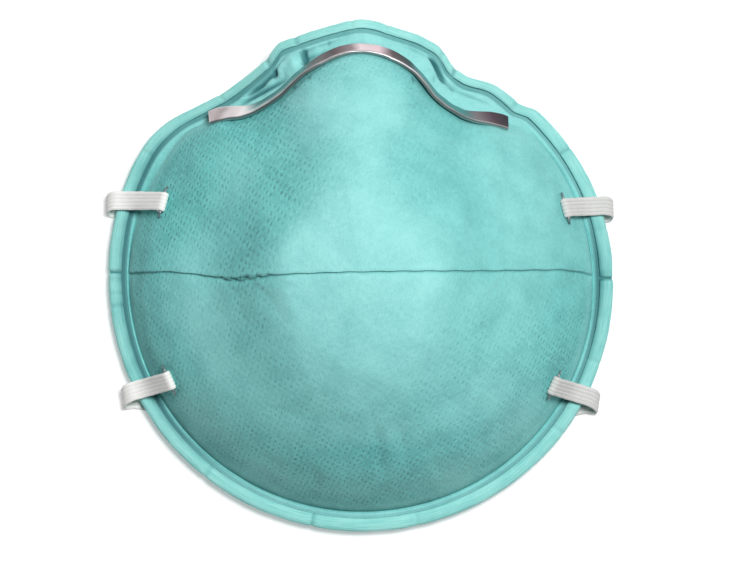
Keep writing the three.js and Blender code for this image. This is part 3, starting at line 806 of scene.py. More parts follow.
def pleat_relief(x, y):
    """The pleat's relief, how far each place lies above its line, the lip and the line itself."""
    above = y - pleat_line(x)
    crumple = mound(x - CRUMPLE_AT, CRUMPLE_WIDTH)
    above = above + crumple * 0.5 * np.sin(x * 1.9) + 0.07 * np.sin(x * 0.9 + 1)
    lip = smoothstep(above, -0.08, 0.08)
    line = mound(above + PLEAT_LINE, PLEAT_LINE)
    sunk = -0.34 * line - 0.15 * (1 + 2 * crumple) * mound(above + 0.9, 0.8)
    second = 0.5 * crumple * mound(above + 1.6 + 0.6 * np.sin(x * 1.3), 0.45)
    roll = (0.08 + 0.2 * crumple) * mound(above - 0.7, 0.5)
    raised = LIP_RISE * (1 + 0.4 * crumple) * fades(above, 0.6, LIP_FADE) + roll
    return raised * lip + (sunk + second) * (1 - lip), above, lip, line


# %% [markdown]
# ### Pressing the blank
#
# Each point goes to the form's surface, and the steps after this one ask many things about it:
# how far from the rim it lies, whether folds reach it and whether it is in the thin web. They
# are worked out once and kept together under their names.

# %% Where the pressed points lie
FOLD_END = (1.6, 2.5)
WEB_START, WEB_END = (1.9, 2.15), (3.0, 3.3)


def pressed_places(disc):
    flat = points_of(disc)
    x, y, ring = place_on_form(flat[:, 0], flat[:, 1])
    angle = direction_of(x, y)
    part = section_at(angle)
    pleat, above, lip, line = pleat_relief(x, y)
    web = smoothstep(ring, *WEB_START) * fades(ring, *WEB_END)
    return SimpleNamespace(
        x=x, y=y, ring=ring, angle=angle, tilt=part["tilt"], base=form_point(x, y),
        normal=form_normal(x, y), pleat=pleat, above=above, lip=lip, line=line,
        from_rim=(rim_radius(angle) - np.hypot(x, y)) / part["level"],
        free=fades(ring, *FOLD_END), web=web, web_folds=folds_at(WEB_FOLDS, x, y) * web,
        pins=[mound(np.hypot(x - mx, y - my), width) for mx, my, width, _ in each_row(PIN_MARKS)],
    )


# %% [markdown]
# The points are pushed out along the normal by the folds. The pleat's lip is also drawn down
# over the part below it, which makes a true undercut and so a fine dark line from every side.
# Beside the rim there is a faint ridge along parts of the weld. The inner side of the wall is
# kept too: it follows the broad swells and the crumples of the thin web, and none of the small
# relief.

# %% Press the cup
SWELL_END = (0.85, 1.3)
PLEAT_END = (1.6, 2.6)
LIP_REACH = 0.1
LIP_END = (1.2, 2)
RIDGE_LINE, RIDGE_WIDTH = 5.05, 0.22
RIDGES = table(
    "angle spread rise",
    (190, 24, 0.34), (2, 10, 0.42), (232, 10, 0.2), (322, 12, 0.22),
)
UNEVENNESS = table("size seed rise", (7.0, 1, 0.2), (2.6, 2, 0.06))
THINNING = (1.8, 3)


def turned_from(angle, where):
    """How far directions are turned from another one, between -180 and 180 degrees."""
    return (angle - where + 180) % 360 - 180


def press_skins(at):
    """The outer and the inner side of the cup after pressing."""
    carried = swells_at(SWELLS, at.x, at.y) * fades(at.ring, *SWELL_END) + at.web_folds
    relief = carried + at.pleat * fades(at.ring, *PLEAT_END) + folds_at(FOLDS, at.x, at.y) * at.free
    for mark, rise in zip(at.pins, PIN_MARKS["rise"]):
        relief += rise * mark
    for where, spread, rise in each_row(RIDGES):
        beside = ((at.from_rim - RIDGE_LINE) / RIDGE_WIDTH) ** 2
        relief += rise * np.exp(-beside - (turned_from(at.angle, where) / spread) ** 4)
    relief += sum(lumps(at.base, size, seed) * rise * at.free
                  for size, seed, rise in each_row(UNEVENNESS))
    outer = at.base + at.normal * relief[:, None]
    lip_pull_and_painted_shade = LIP_REACH * mound(np.maximum(at.above, 0), 0.7) * at.lip * fades(at.ring, *LIP_END)
    outer[:, 1] -= lip_pull_and_painted_shade * smoothstep(np.hypot(at.x, at.y), 0.1, 0.7)
    wall = WALL + (FLANGE - WALL) * smoothstep(at.ring, *THINNING)
    return outer, at.base + at.normal * (carried - wall)[:, None]


# %% [markdown]
# The finish has to know three things at each point. Painted shade darkens the web in the groove
# beside the rim, along the pleat's line, at the pin marks and in the deepest folds at the nose,
# and random darker blotches lie on the thin web there. Painted shade also deepens the web's tone
# where the form is steep, but less at the upper right and on the bridge, and more or less in the
# shade patches. Its embossing shows most where that painted side shade is, and hardly at all on
# the right side above the chin.

# %% Painted shade and embossing on the cloth
WELD_LINE = 4.5
# How strong the painted shade in the groove beside the rim is in each direction.
GROOVE_SHADE_STRENGTHS = table(
    "angle hard",
    (0, 1.0), (25, 0.3), (60, 0.35), (90, 0.15), (122, 0.45), (138, 0.55), (152, 1.0),
    (215, 1.0), (238, 0.3), (270, 0.0), (310, 0.3), (335, 0.6),
)
groove_shade_strength = round_curve(GROOVE_SHADE_STRENGTHS, "hard")

STEEP = (0.04, 0.42)
NOSE_TILT = (4, 24)
# The painted side shade is lighter at the upper right and on the bridge.
LESS_SHADE_X, LESS_SHADE_Y = (12, 50), (-12, 18)
BRIDGE_WIDTH, BRIDGE_Y = 15, (28, 46)
SMOOTH_X, SMOOTH_Y = (-8, 30), (-22, 8)


def cloth_shares(at):
    """How much painted shade and darker tone the cloth takes, how deep its painted side shade is,
    and how much embossing it shows.
    """
    # Painted shade: the groove beside the rim, the pleat's line, the pin marks and the valleys of
    # the folds in the thin web are painted darker, and the thin web over the nose has random darker
    # blotches.
    hard = groove_shade_strength(at.angle)
    rim_groove_shade = smoothstep(at.from_rim, WELD_LINE + 0.1 + 0.6 * hard, WELD_LINE - 0.2)
    pleat_line_shade = 0.42 * at.line * at.free * (0.8 + 0.2 * lumps(at.base, 5, 6))
    groove_and_crease_shade = np.maximum(pleat_line_shade, rim_groove_shade * (0.35 + 0.65 * hard))
    fold_valley_shade = np.clip(-at.web_folds - 0.12, 0, 1) * 1.2
    nose = smoothstep(at.tilt, *NOSE_TILT)
    random_blotches = 0.3 * np.clip(lumps(at.base, 4.5, 7), 0, 1) * at.web * nose
    pressed = np.clip(np.maximum(groove_and_crease_shade, sum(at.pins)) + fold_valley_shade + random_blotches, 0, 1)
    # Painted shade on the steep sides: lighter at the upper right and on the bridge, changed in the
    # shade patches, faded at the foot, and a fixed share on the thin web except over the nose.
    less_shade = smoothstep(at.x, *LESS_SHADE_X) * smoothstep(at.y, *LESS_SHADE_Y)
    bridge = mound(at.x, BRIDGE_WIDTH) * smoothstep(at.y, *BRIDGE_Y)
    lip_pull_and_painted_shade = smoothstep(1 - at.normal[:, 2], *STEEP) * (1 - 0.5 * less_shade) * (1 - 0.5 * bridge)
    lip_pull_and_painted_shade = lip_pull_and_painted_shade + swells_at(SHADE_PATCHES, at.x, at.y)
    lip_pull_and_painted_shade = lip_pull_and_painted_shade * (1 - 0.85 * smoothstep(at.ring, 1.35, 2))
    lip_pull_and_painted_shade = np.clip(lip_pull_and_painted_shade, 0, 1) * (1 - at.web) + 0.75 * (1 - nose) * at.web
    smooth_side = smoothstep(at.x, *SMOOTH_X) * smoothstep(at.y, *SMOOTH_Y)
    embossed = (0.1 + 0.9 * lip_pull_and_painted_shade) * (1 - 0.88 * smooth_side) * fades(at.ring, 1.6, 1.95)
    return {"pressed": pressed, "lip_pull_and_painted_shade": lip_pull_and_painted_shade, "embossed": embossed}


places = pressed_places(cup)
outer_skin, inner_skin = press_skins(places)
move_points(cup, outer_skin)
print("the pressed cup is", round(np.ptp(outer_skin[:, 0]), 1), "mm wide without its rim")


# %% [markdown]
# The flat place that the cloth's pattern uses is measured along the surface from the middle, so
# the dimples keep their size on the steep sides. Pressing crowds them a little there.

# %% Follow the surface for the cloth's pattern
CROWDING = 0.12
MEASURED_TO = 68
MEASURING_STEPS = 240


def surface_distance():
    """Distances from the middle, and the same measured over the cup, as a mean of all round."""
    angles = np.arange(0, 360, 5.0)
    grid_angle, grid_share = np.meshgrid(angles, np.linspace(0, 1, MEASURING_STEPS))
    radius = grid_share * MEASURED_TO
    x, y = on_circle(grid_angle, radius)
    height = form_height(x.ravel(), y.ravel()).reshape(x.shape)
    steps = np.hypot(np.diff(radius, axis=0), np.diff(height, axis=0))
    over = np.concatenate([0 * angles[None], np.cumsum(steps, axis=0)])
    return radius[:, 0], over.mean(axis=1)


reach, walked = surface_distance()
cup_x, cup_y, _ = points_of(cup).T
distance = np.hypot(cup_x, cup_y)
stretch = np.interp(distance, reach, walked) / np.maximum(distance, 1e-6)
stretch *= 1 + CROWDING * smoothstep(distance, 20, 60)
print("from the middle to the rim over the cup:", round(walked[-1], 1), "mm")


# %% [markdown]
# ### The wall
#
# Solidify gives the cup its thickness inwards: 2 mm of cover web, filter and inner web, thinned
# to 0.9 mm where the flange is pressed. It adds the inner points in the same order as the outer
# ones, so they can then be put where the pressing left the inner side. The new side takes the
# second material, the pale inner web.

# %% Give the cup its wall
def face_up(piece):
    if sum(face.normal.z * face.area for face in piece.data.polygons) < 0:
        start_fresh()
        bpy.context.view_layer.objects.active = piece
        piece.select_set(True)
        with all_selected():
            bpy.ops.mesh.flip_normals()


face_up(cup)
write_uv(cup, cup_x * stretch, cup_y * stretch)
write_shares(cup, **cloth_shares(places))
cup.data.materials.append(cup_cloth)
cup.data.materials.append(inner_web)
apply_modifier(cup, "SOLIDIFY", thickness=WALL * MM, offset=-1.0, material_offset=1, use_rim=True)
move_points(cup, np.concatenate([outer_skin, inner_skin]))
cup.data.shade_smooth()
finish_piece(cup, "cup", None, "cup_fabric", "cup_shell")


# %% [markdown]
# ## The sealed rim
#
# Round the edge the layers are welded into a soft roll about 4 mm wide. Its cloth is the cup's,
# pulled into fine streaks along the roll, and it is paler because it is smooth. The streaks are
# noise that is stretched along the roll, in the flat place that bending will give it.

# %% Rim finish
def rim_finish():
    finish = Finish("welded_rim", Roughness=0.88, Sheen_Weight=0.1, Specular_IOR_Level=0.3)
    flat = finish.flat_place()
    streak = finish.cloud(finish.stretch(flat, 0.05, 1.0, 1.0), 0.45, 3, 0.6)
    fibre = finish.cloud(finish.place(), 0.5, 4, 0.7)
    patch = finish.cloud(finish.place(), 9, 2)
    finish.relief(streak * 0.2 + fibre * 0.06)
    tone = (streak - 0.5) * 1.3 + (patch - 0.5) * 0.7 + (fibre - 0.5) * 0.3 + 0.5
    cloth = finish.tint(tone, (130, 212, 207), (180, 246, 239))
    # Painted shade: the roll's inner side and its creases take the dark tone, and so do its darker
    # places.
    finish.feed("Base Color", finish.blend_colours(finish.share("pressed"), cloth, SHADE_AND_DARK_TONE))
    return finish.material


# %% [markdown]
# The roll could be a curve with a bevel, but it has a slot for the flange and little creases
# across it, so its section is drawn once, spun into a round ring, and the ring is then bent to
# the rim's outline. The section is a flattened circle, a little square at the sides.

# %% Draw the roll's section and spin it
SPUN_RADIUS = RIM["radius"][0] - BAND_WIDTH / 2
SLOT_DEPTH = 2.6
RING_STEPS = 800
ROLL_POINTS = 26
ROLL_FLATNESS = 0.86
ROLL_POWER = 0.66


def roll_section():
    """The roll's outline, across and up: round the outside from lip to lip, then the slot."""
    half, tall, slot = BAND_WIDTH / 2, BAND_HEIGHT / 2 * ROLL_FLATNESS, FLANGE / 2 + GAP + ROOM
    first = math.pi + math.asin(slot / tall)
    turns = np.linspace(first, 3 * math.pi - math.asin(slot / tall), ROLL_POINTS)
    across = half * np.sign(np.cos(turns)) * abs(np.cos(turns)) ** ROLL_POWER
    up = tall * np.sign(np.sin(turns)) * abs(np.sin(turns)) ** ROLL_POWER
    lips = [(-half + SLOT_DEPTH, slot), (-half + SLOT_DEPTH, -slot)]
    return list(zip(across, up)) + lips


def spin_ring():
    section = roll_section()
    start_fresh()
    bpy.ops.mesh.primitive_circle_add(vertices=len(section), radius=BAND_WIDTH / 2 * MM)
    ring = bpy.context.object
    across, up = np.array(section).T
    move_points(ring, np.stack([SPUN_RADIUS + across, 0 * up, up], axis=-1))
    with all_selected():
        bpy.ops.mesh.spin(steps=RING_STEPS, angle=2 * math.pi, center=(0, 0, 0), axis=(0, 0, 1))
        bpy.ops.mesh.select_all(action="SELECT")
        bpy.ops.mesh.remove_doubles(threshold=0.01 * MM)
        bpy.ops.mesh.normals_make_consistent(inside=False)
    return ring


rim = spin_ring()
print("the spun ring has", len(rim.data.vertices), "points")


# %% [markdown]
# Creases across the roll are rows too: the direction where each lies, its width along the rim,
# and its depth. The pleat nicks the roll on both sides. Over the nose the roll is narrower. The
# roll's inner side beside the groove and its creases are painted darker, as painted shade, and
# that shade is strongest at the cheeks and hardly shows at the chin. The roll is also a little
# darker all round, most of all at the cheeks and least over the nose.

# %% Creases and darker places
CREASES = table(
    "angle width depth",
    (179.1, 0.45, 1.0), (180.6, 1.4, 0.4), (187.0, 0.5, 0.5), (184.2, 0.3, 0.4),
    (232.0, 0.5, 0.6), (258.8, 0.5, 0.7), (31.5, 0.6, 0.6), (359.4, 0.45, 1.0),
    (0.6, 1.3, 0.45), (65.5, 0.7, 0.8), (70.0, 0.8, 0.5), (105.5, 0.7, 0.6),
    (113.5, 0.7, 0.7), (128.0, 0.6, 0.4), (150.0, 0.5, 0.35), (205.0, 0.5, 0.35),
    (283.0, 0.5, 0.3), (322.0, 0.5, 0.35), (48.0, 0.6, 0.5), (92.0, 0.6, 0.35),
    (84.0, 0.6, 0.3), (340.0, 0.5, 0.3), (11.0, 0.5, 0.3),
)
# How much darker the roll is all round, and in some directions.
EVEN_DARKENING = 0.07
DARKER_PLACES = table("angle spread tone", (0, 42, 0.12), (180, 45, 0.06), (90, 30, -0.07))
RIM_SIZE = 67


def creased(angle):
    """How deep the creases go in each direction."""
    dent = np.zeros_like(angle)
    for where, width, depth in each_row(CREASES):
        dent += depth * mound(np.radians(turned_from(angle, where)) * RIM_SIZE, width)
    return dent


def roll_darkening(angle):
    """How much darker the roll is in each direction."""
    grey = np.full_like(angle, EVEN_DARKENING)
    for where, spread, tone in each_row(DARKER_PLACES):
        grey += tone * mound(turned_from(angle, where), spread)
    return grey


# %% [markdown]
# Bending sends each point of the round ring to the rim: its direction stays, and the section
# leans with the rim over the nose. The roll's top is dented by the creases, and all of it wavers
# a little, because a soft roll is never even.

# %% Bend the ring to the rim
NOSE_NARROWING = 0.45
CREASE_DEPTH, CREASE_SINK = 0.9, 0.35


def bend_ring(ring):
    flat = points_of(ring)
    angle = direction_of(flat[:, 0], flat[:, 1]) % 360
    across, up = np.hypot(flat[:, 0], flat[:, 1]) - SPUN_RADIUS, flat[:, 2]
    write_uv(ring, np.radians(angle) * RIM_SIZE, np.arctan2(up, across) * (BAND_WIDTH / 2))
    part, dent, hard = section_at(angle), creased(angle), groove_shade_strength(angle)
    line = np.stack([*on_circle(angle, RIM_SIZE), 0 * angle], axis=-1)
    waver, swell = lumps(line, 6, 3), lumps(line, 2.2, 4)
    upper, outer = smoothstep(up, 0.3, 1.2), smoothstep(across, -1.8, 0.5)
    body = smoothstep(abs(up), 0.8, 1.1) * np.sign(up)
    nose = part["tilt"] / part["tilt"].max()
    across = across - NOSE_NARROWING * nose * smoothstep(across, -0.5, 2)
    # Painted shade at the roll's inner side beside the groove and in the creases, with the roll's
    # darker places added.
    welded = smoothstep(-across, 0.9 - 1.3 * hard, 2.05) * (up > 0) * (0.25 + 0.5 * hard)
    groove_and_crease_shade = welded * (0.85 + 0.15 * swell) + 0.9 * np.minimum(dent, 1) ** 2 * upper
    write_shares(ring, pressed=np.clip(groove_and_crease_shade + roll_darkening(angle), 0, 1))
    up = up - dent * upper * CREASE_DEPTH + body * (0.16 * waver + 0.08 * swell)
    across = across - dent * smoothstep(across, 0.6, 2) * CREASE_SINK
    across = across + (0.12 * waver + 0.07 * swell) * outer
    tilt = np.radians(part["tilt"])[:, None]
    out = np.stack([*on_circle(angle), 0 * angle], axis=-1)
    side, face = out * np.cos(tilt) - UP * np.sin(tilt), out * np.sin(tilt) + UP * np.cos(tilt)
    middle = out * part["middle"][:, None] + UP * part["lift"][:, None]
    move_points(ring, middle + side * across[:, None] + face * up[:, None])
    ring.data.shade_smooth()


bend_ring(rim)
finish_piece(rim, "rim", rim_finish(), "edge_fabric", "edge_band")


# %% [markdown]
# ## Pieces laid along a route
#
# The nose strip, the straps and the staples all start straight: a strip or a wire as it is cut
# from its roll. Each is modelled flat along X, and one function then lays it along its route. A
# route is a row of stations with a place, the way across and the way that the face looks.

# %% Lay a straight piece along a route
def lay_along(piece, route):
    flat = points_of(piece)
    at, across, face = (np.array(column, float) for column in route)
    run = np.concatenate([[0], np.cumsum(np.linalg.norm(np.diff(at, axis=0), axis=1))])

    def along_route(way):
        return np.stack([np.interp(flat[:, 0], run, way[:, i]) for i in range(3)], axis=-1)

    place, side, up = along_route(at), unit(along_route(across)), unit(along_route(face))
    beyond = np.minimum(flat[:, 0], 0) + np.maximum(flat[:, 0] - run[-1], 0)
    ahead = unit(np.cross(side, up))
    move_points(piece, place + side * flat[:, 1:2] + up * flat[:, 2:3] + ahead * beyond[:, None])


def route_length(route):
    return float(np.linalg.norm(np.diff(np.array(route[0]), axis=0), axis=1).sum())


def flat_strip(length, width, columns, rows):
    """A flat strip along X, from 0 to its length, in millimetres."""
    start_fresh()
    bpy.ops.mesh.primitive_grid_add(x_subdivisions=columns, y_subdivisions=rows, size=2 * MM)
    strip = bpy.context.object
    with all_selected():
        bpy.ops.transform.resize(value=(length / 2, width / 2, 1), center_override=(0, 0, 0))
        bpy.ops.transform.translate(value=(length / 2 * MM, 0, 0))
    return strip


# %% [markdown]
# ## The nose strip
#
# A strip of soft aluminium, 5 mm wide, is pressed onto the steep wall over the nose and bent by
# hand. Bright metal shows its surroundings, light and dark by turns along the bend, and a light
# table has no dark parts of its own, so the dull and bright stretches are painted along the strip
# as painted reflections. On its flanks the side next to the thin web has the web's colour painted
# on as a painted reflection, and its lower edge has a painted highlight.

# %% Metal finish
CLIP_WIDTH = 5.0
CLIP_THICKNESS = 0.9
FLANK_STARTS, FLANK_ENDS = (0.14, 0.2), (0.34, 0.4)
WEB_SIDE = (-1.9, 0.4)
WEB_REFLECTED = 0.88
# Painted reflections along the strip, from one end to the other.
PAINTED_REFLECTIONS = table(
    "share red green blue",
    (0.0, 214, 200, 202), (0.1, 242, 234, 234), (0.2, 216, 214, 214), (0.29, 128, 148, 148),
    (0.36, 124, 120, 122), (0.42, 84, 68, 72), (0.475, 150, 128, 134), (0.5, 246, 222, 226),
    (0.55, 240, 208, 216), (0.59, 96, 78, 82), (0.65, 68, 60, 64), (0.69, 150, 142, 148),
    (0.75, 112, 148, 150), (0.84, 106, 146, 148), (0.9, 132, 124, 128), (0.95, 98, 84, 90),
    (1.0, 68, 68, 76),
)


def strip_finish(length):
    finish = Finish("pressed_aluminium", Metallic=1.0)
    flat = finish.flat_place()
    u, v, _ = finish.split(flat)
    streak = finish.cloud(finish.stretch(flat, 0.04, 1.0, 1.0), 0.3, 3, 0.6)
    smudge = finish.cloud(finish.place(), 4, 3, 0.6)
    share = 1 - u / (length * MM)
    # Painted reflections: the ramp paints the light and dark stretches along the strip.
    ramp = finish.node("ShaderNodeValToRGB", {}, share + (smudge - 0.5) * 0.03)
    stops = ramp.socket.node.color_ramp.elements
    for at, *tone in each_row(PAINTED_REFLECTIONS):
        stop = stops[0] if at == 0 else stops[-1] if at == 1 else stops.new(at)
        stop.color = colour(*tone)
    from_middle = abs(share - 0.5)
    flank = from_middle.rises(*FLANK_STARTS) * (1 - from_middle.rises(*FLANK_ENDS))
    # A painted reflection of the thin web, on the side of the strip's flanks next to it.
    web_reflection = flank * (v / MM).rises(*WEB_SIDE) * WEB_REFLECTED
    metal = finish.blend_colours(web_reflection, ramp, colour(98, 158, 157))
    # A painted highlight along the strip's lower edge.
    edge = (v / MM).rises(-CLIP_WIDTH / 2 + 0.8, -CLIP_WIDTH / 2 + 0.3)
    finish.relief(streak * 0.03 + smudge * 0.05)
    finish.feed("Roughness", 0.24 + streak * 0.1 + smudge * 0.1)
    finish.feed("Base Color", finish.blend_colours(edge, metal, colour(190, 186, 186)))
    return finish.material


# %% [markdown]
# The strip runs along the middle of the steep wall. It is too stiff to follow each dent, so the
# places and normals under it are evened over their neighbours. Its flanks stand a little steeper
# than the wall, its ends turn up to face outwards, and it is lifted until no part of it is in
# the cloth.

# %% The nose strip's route
CLIP_FROM, CLIP_TO = 46, 134
CLIP_EVENING = 4
END_TURN, FLANK_TURN = 0.6, 0.16
FLANK_FROM, FLANK_TO, END_FROM = (8, 16), (28, 36), (33, 42)
LIFT_STEPS, LIFT_STEP = 60, 0.03


def evened(ways, reach):
    """A running mean over neighbours on both sides, so both ends come out shorter by the reach."""
    count = len(ways) - 2 * reach
    return np.array([ways[i:i + 2 * reach + 1].mean(axis=0) for i in range(count)])


def lift_clear(surface, across, face):
    """How far the strip's middle stands off the form, so that no part of it is in the cloth."""
    stand = np.full(len(surface), GAP + ROOM)
    sides = np.linspace(-CLIP_WIDTH / 2, CLIP_WIDTH / 2, 7)
    for _ in range(LIFT_STEPS):
        under = [surface + face * stand[:, None] + across * side for side in sides]
        room = np.min([spot[:, 2] - form_height(spot[:, 0], spot[:, 1]) for spot in under], axis=0)
        stand += LIFT_STEP * (room < GAP)
    padded = np.pad(stand, CLIP_EVENING, mode="edge")
    return evened(padded, CLIP_EVENING) + CLIP_THICKNESS / 2


def clip_route():
    angles = np.arange(CLIP_FROM - CLIP_EVENING, CLIP_TO + CLIP_EVENING + 0.5, 1.0)
    part = section_at(angles)
    x, y = on_circle(angles, (part["shoulder"] + part["foot"]) / 2)
    surface, face = (evened(ways(x, y), CLIP_EVENING) for ways in (form_point, form_normal))
    from_top = abs(np.arange(CLIP_FROM, CLIP_TO + 0.5, 1.0) - (CLIP_FROM + CLIP_TO) / 2)
    on_flank = smoothstep(from_top, *FLANK_FROM) * fades(from_top, *FLANK_TO)
    face[:, 2] += END_TURN * smoothstep(from_top, *END_FROM) - FLANK_TURN * on_flank
    along = unit(np.gradient(surface, axis=0))
    across = unit(np.cross(along, face))
    face = np.cross(across, along)
    return surface + face * lift_clear(surface, across, face)[:, None], across, face


# %% [markdown]
# The strip starts as a flat grid. Solidify gives it its thickness, and Bevel its rounded edges.
# Fingers have left it slightly wavy, and its ends are a little narrower.

# %% Make the nose strip
CLIP_GRID = (180, 10)
CLIP_BEVEL = {"width": 0.22 * MM, "segments": 3, "limit_method": "ANGLE", "angle_limit": 0.9}
END_NARROWING, END_LENGTH = 0.1, 2


def make_clip():
    route = clip_route()
    length = route_length(route)
    strip = flat_strip(length, CLIP_WIDTH, *CLIP_GRID)
    flat = points_of(strip)
    write_uv(strip, flat[:, 0], flat[:, 1])
    apply_modifier(strip, "SOLIDIFY", thickness=CLIP_THICKNESS * MM, offset=0.0)
    apply_modifier(strip, "BEVEL", **CLIP_BEVEL)
    along, across, up = points_of(strip).T
    up = up + (0.05 * np.sin(along * 0.5) + 0.03 * np.sin(along * 1.3 + across * 0.6))
    from_middle = abs(along - length / 2)
    at_end = smoothstep(from_middle, length / 2 - END_LENGTH, length / 2)
    move_points(strip, np.stack([along, across * (1 - END_NARROWING * at_end), up], axis=-1))
    lay_along(strip, route)
    strip.data.shade_smooth()
    return strip, length


clip, clip_length = make_clip()
print("the nose strip is", round(clip_length, 1), "mm along its bend")
finish_piece(clip, "nose_strip", strip_finish(clip_length), "clip_metal", "nose_clip")


# %% [markdown]
# ## The straps
#
# Each strap is a flat braided elastic, 5 mm wide, with ribs along it. Its end is folded round
# the staple's wire, so that the strap comes off the top of the fold, runs down over the rim,
# loops under it and lies on the table behind. A cloth simulation would not keep a tight little
# loop like this, so the strap is laid along a route that is built the way the strap lies. The
# stands below say how high each layer lies over the cup: the tail, the wire, and the strand.

# %% Where the strap ends are
STRAP_WIDTH = 5.1
STRAP_THICKNESS = 0.9
STRAP_LENGTH = 192.0
HELD = 0.05
TAIL = 2.4
RETURN_SHIFT = 2.2
WIRE = 0.6
RIM_LIFT = 3.0
RUN_OUT, RUN_IN = 7.0, 5.2
TAIL_STAND = HELD + STRAP_THICKNESS / 2
WIRE_STAND = TAIL_STAND + STRAP_THICKNESS / 2 + HELD + WIRE / 2
STRAND_STAND = WIRE_STAND + WIRE / 2 + HELD + STRAP_THICKNESS / 2
LOOP_TOP = RIM_LIFT + BAND_HEIGHT / 2 + GAP + ROOM + STRAP_THICKNESS / 2
FLOOR_STAND = STRAP_THICKNESS / 2

STRAP_ENDS = {
    "upper_left": {"angle": 159.5, "radius": 55.8, "heading": 179},
    "upper_right": {"angle": 18.3, "radius": 57.0, "heading": 3},
    "lower_left": {"angle": 208.6, "radius": 57.6, "heading": 196},
    "lower_right": {"angle": 330.4, "radius": 58.6, "heading": 343},
}


def direction(degrees):
    return np.array([math.cos(math.radians(degrees)), math.sin(math.radians(degrees)), 0.0])


def surface_here(place):
    x, y = np.array([place[0]]), np.array([place[1]])
    return form_point(x, y)[0], form_normal(x, y)[0]


def strap_place(angle, radius, heading):
    """Where a strap end stands, with the cup's normal and the ways across and down the strap."""
    foot, normal = surface_here(direction(angle) * radius)
    level = direction(heading)
    down = unit(level - UP * (normal @ level) / normal[2])
    across = np.cross(down, normal)
    return SimpleNamespace(foot=foot, normal=normal, across=across, down=down, level=level)


spots = {name: strap_place(**end) for name, end in STRAP_ENDS.items()}


# %% [markdown]
# A strap end's route is three runs of stations, each with a place, the way along and the way
# across. The first is the tail under the wire and the half turn round it. The second is a
# smooth curve that leaves the fold and comes over the rim level. The third is the loop under the
# rim, where the strap also turns to lie straight behind the cup.

# %% The fold, the way down and the loop
RIM_STEP = 0.05
CURVE_STATIONS = 17
LOOP_TURNS = np.arange(78.75, -90.1, -11.25)


def held_fold(spot):
    stations = []
    for out in np.linspace(TAIL, 0, 4):
        on, there = surface_here(spot.foot + spot.down * out)
        stations.append((on + there * TAIL_STAND, -spot.down, -spot.across))
    fold = (STRAND_STAND - TAIL_STAND) / 2
    wire = spot.foot + spot.normal * WIRE_STAND
    for turn in np.radians(np.arange(-75, 76, 15)):
        c, s = math.cos(turn), math.sin(turn)
        at = wire - spot.down * fold * c + spot.normal * fold * s
        stations.append((at, spot.down * s + spot.normal * c, -spot.across))
    return stations


def place_past_rim(top, level):
    """The first place on the strap's heading that clears the rim, at the loop's height."""
    over = top.copy()
    while rim_radius(direction_of(*over[:2])) > math.hypot(*over[:2]) - GAP * 2:
        over += level * RIM_STEP
    over[2] = LOOP_TOP
    return over


def way_down(spot, top, over):
    flat_across = np.cross(spot.level, UP)
    handles = [top, top + spot.down * RUN_OUT, over - spot.level * RUN_IN, over]
    stations = []
    for t in np.linspace(0, 1, CURVE_STATIONS):
        shares = [(1 - t) ** 3, 3 * (1 - t) ** 2 * t, 3 * (1 - t) * t * t, t ** 3]
        slopes = [-3 * (1 - t) ** 2, 3 * (1 - t) * (1 - 3 * t), 3 * t * (2 - 3 * t), 3 * t * t]
        at, along = (sum(w * p for w, p in zip(ws, handles)) for ws in (shares, slopes))
        lean = smoothstep(t, 0.1, 0.8)
        stations.append((at, unit(along), -unit(spot.across * (1 - lean) + flat_across * lean)))
    return stations


def loop_under(level, over):
    loop = (LOOP_TOP - FLOOR_STAND) / 2
    flat_across = np.cross(level, UP)
    inward_across = np.cross([-1.0 if level[0] > 0 else 1.0, 0, 0], UP)
    stations = []
    for turn in LOOP_TURNS:
        done = smoothstep((90 - turn) / 180, 0, 1)
        c, s = math.cos(math.radians(turn)), math.sin(math.radians(turn))
        at = over + level * loop * c + UP * loop * (s - 1) - np.array([0, RETURN_SHIFT * done, 0])
        across = unit(-flat_across * (1 - done) + inward_across * done)
        stations.append((at, level * s - UP * c, across))
    return stations


def strap_end(name):
    """Stations from the hidden tail to the table."""
    spot = spots[name]
    top = spot.foot + spot.normal * STRAND_STAND
    over = place_past_rim(top, spot.level)
    return held_fold(spot) + way_down(spot, top, over) + loop_under(spot.level, over)


# %% [markdown]
# The hidden stretch lies flat on the table, from loop to loop, in one smooth bow. How far the
# bow drops is found from the strap's real length by halving the range again and again.

# %% A whole strap's route
BOW_STEPS = 56
DEEPEST_BOW = 60.0
HALVINGS = 40
NEXT = 0.002


def bow(left, right, drop, level_share):
    """The stretch behind the cup from loop to loop. Its middle lies level for a share of it."""
    def spot(t):
        sink = drop * fades(abs(2 * t - 1), level_share, 1)
        return left + (right - left) * t - np.array([0, sink, 0])

    stations = []
    for t in np.linspace(0, 1, BOW_STEPS + 1)[1:-1]:
        along = unit(spot(t + NEXT) - spot(t - NEXT))
        stations.append((spot(t), along, np.cross(along, UP)))
    return stations


def strap_route(left_end, right_end, level_share):
    left = strap_end(left_end)
    right = [(at, -along, -across) for at, along, across in strap_end(right_end)[::-1]]

    def whole(drop):
        stations = left + bow(left[-1][0], right[0][0], drop, level_share) + right
        at, along, across = (np.array(column) for column in zip(*stations))
        face = unit(np.cross(across, along))
        return at, unit(np.cross(along, face)), face

    low, high = 0.0, DEEPEST_BOW
    for _ in range(HALVINGS):
        drop = (low + high) / 2
        if route_length(whole(drop)) < STRAP_LENGTH:
            low = drop
        else:
            high = drop
    return whole(low)


# %% [markdown]
# Braided elastic is a few fine ribs side by side, with a soft nap. The ribs are shape, and the
# threads are a faint bump in the strap's own flat place, where u runs along the strap and v
# across it. Each strap is painted lighter towards its left end and darker towards its right end,
# as painted light and shade.

# %% Elastic finish
RIBS = 5
PAINTED_LIGHT_STEP = 0.46


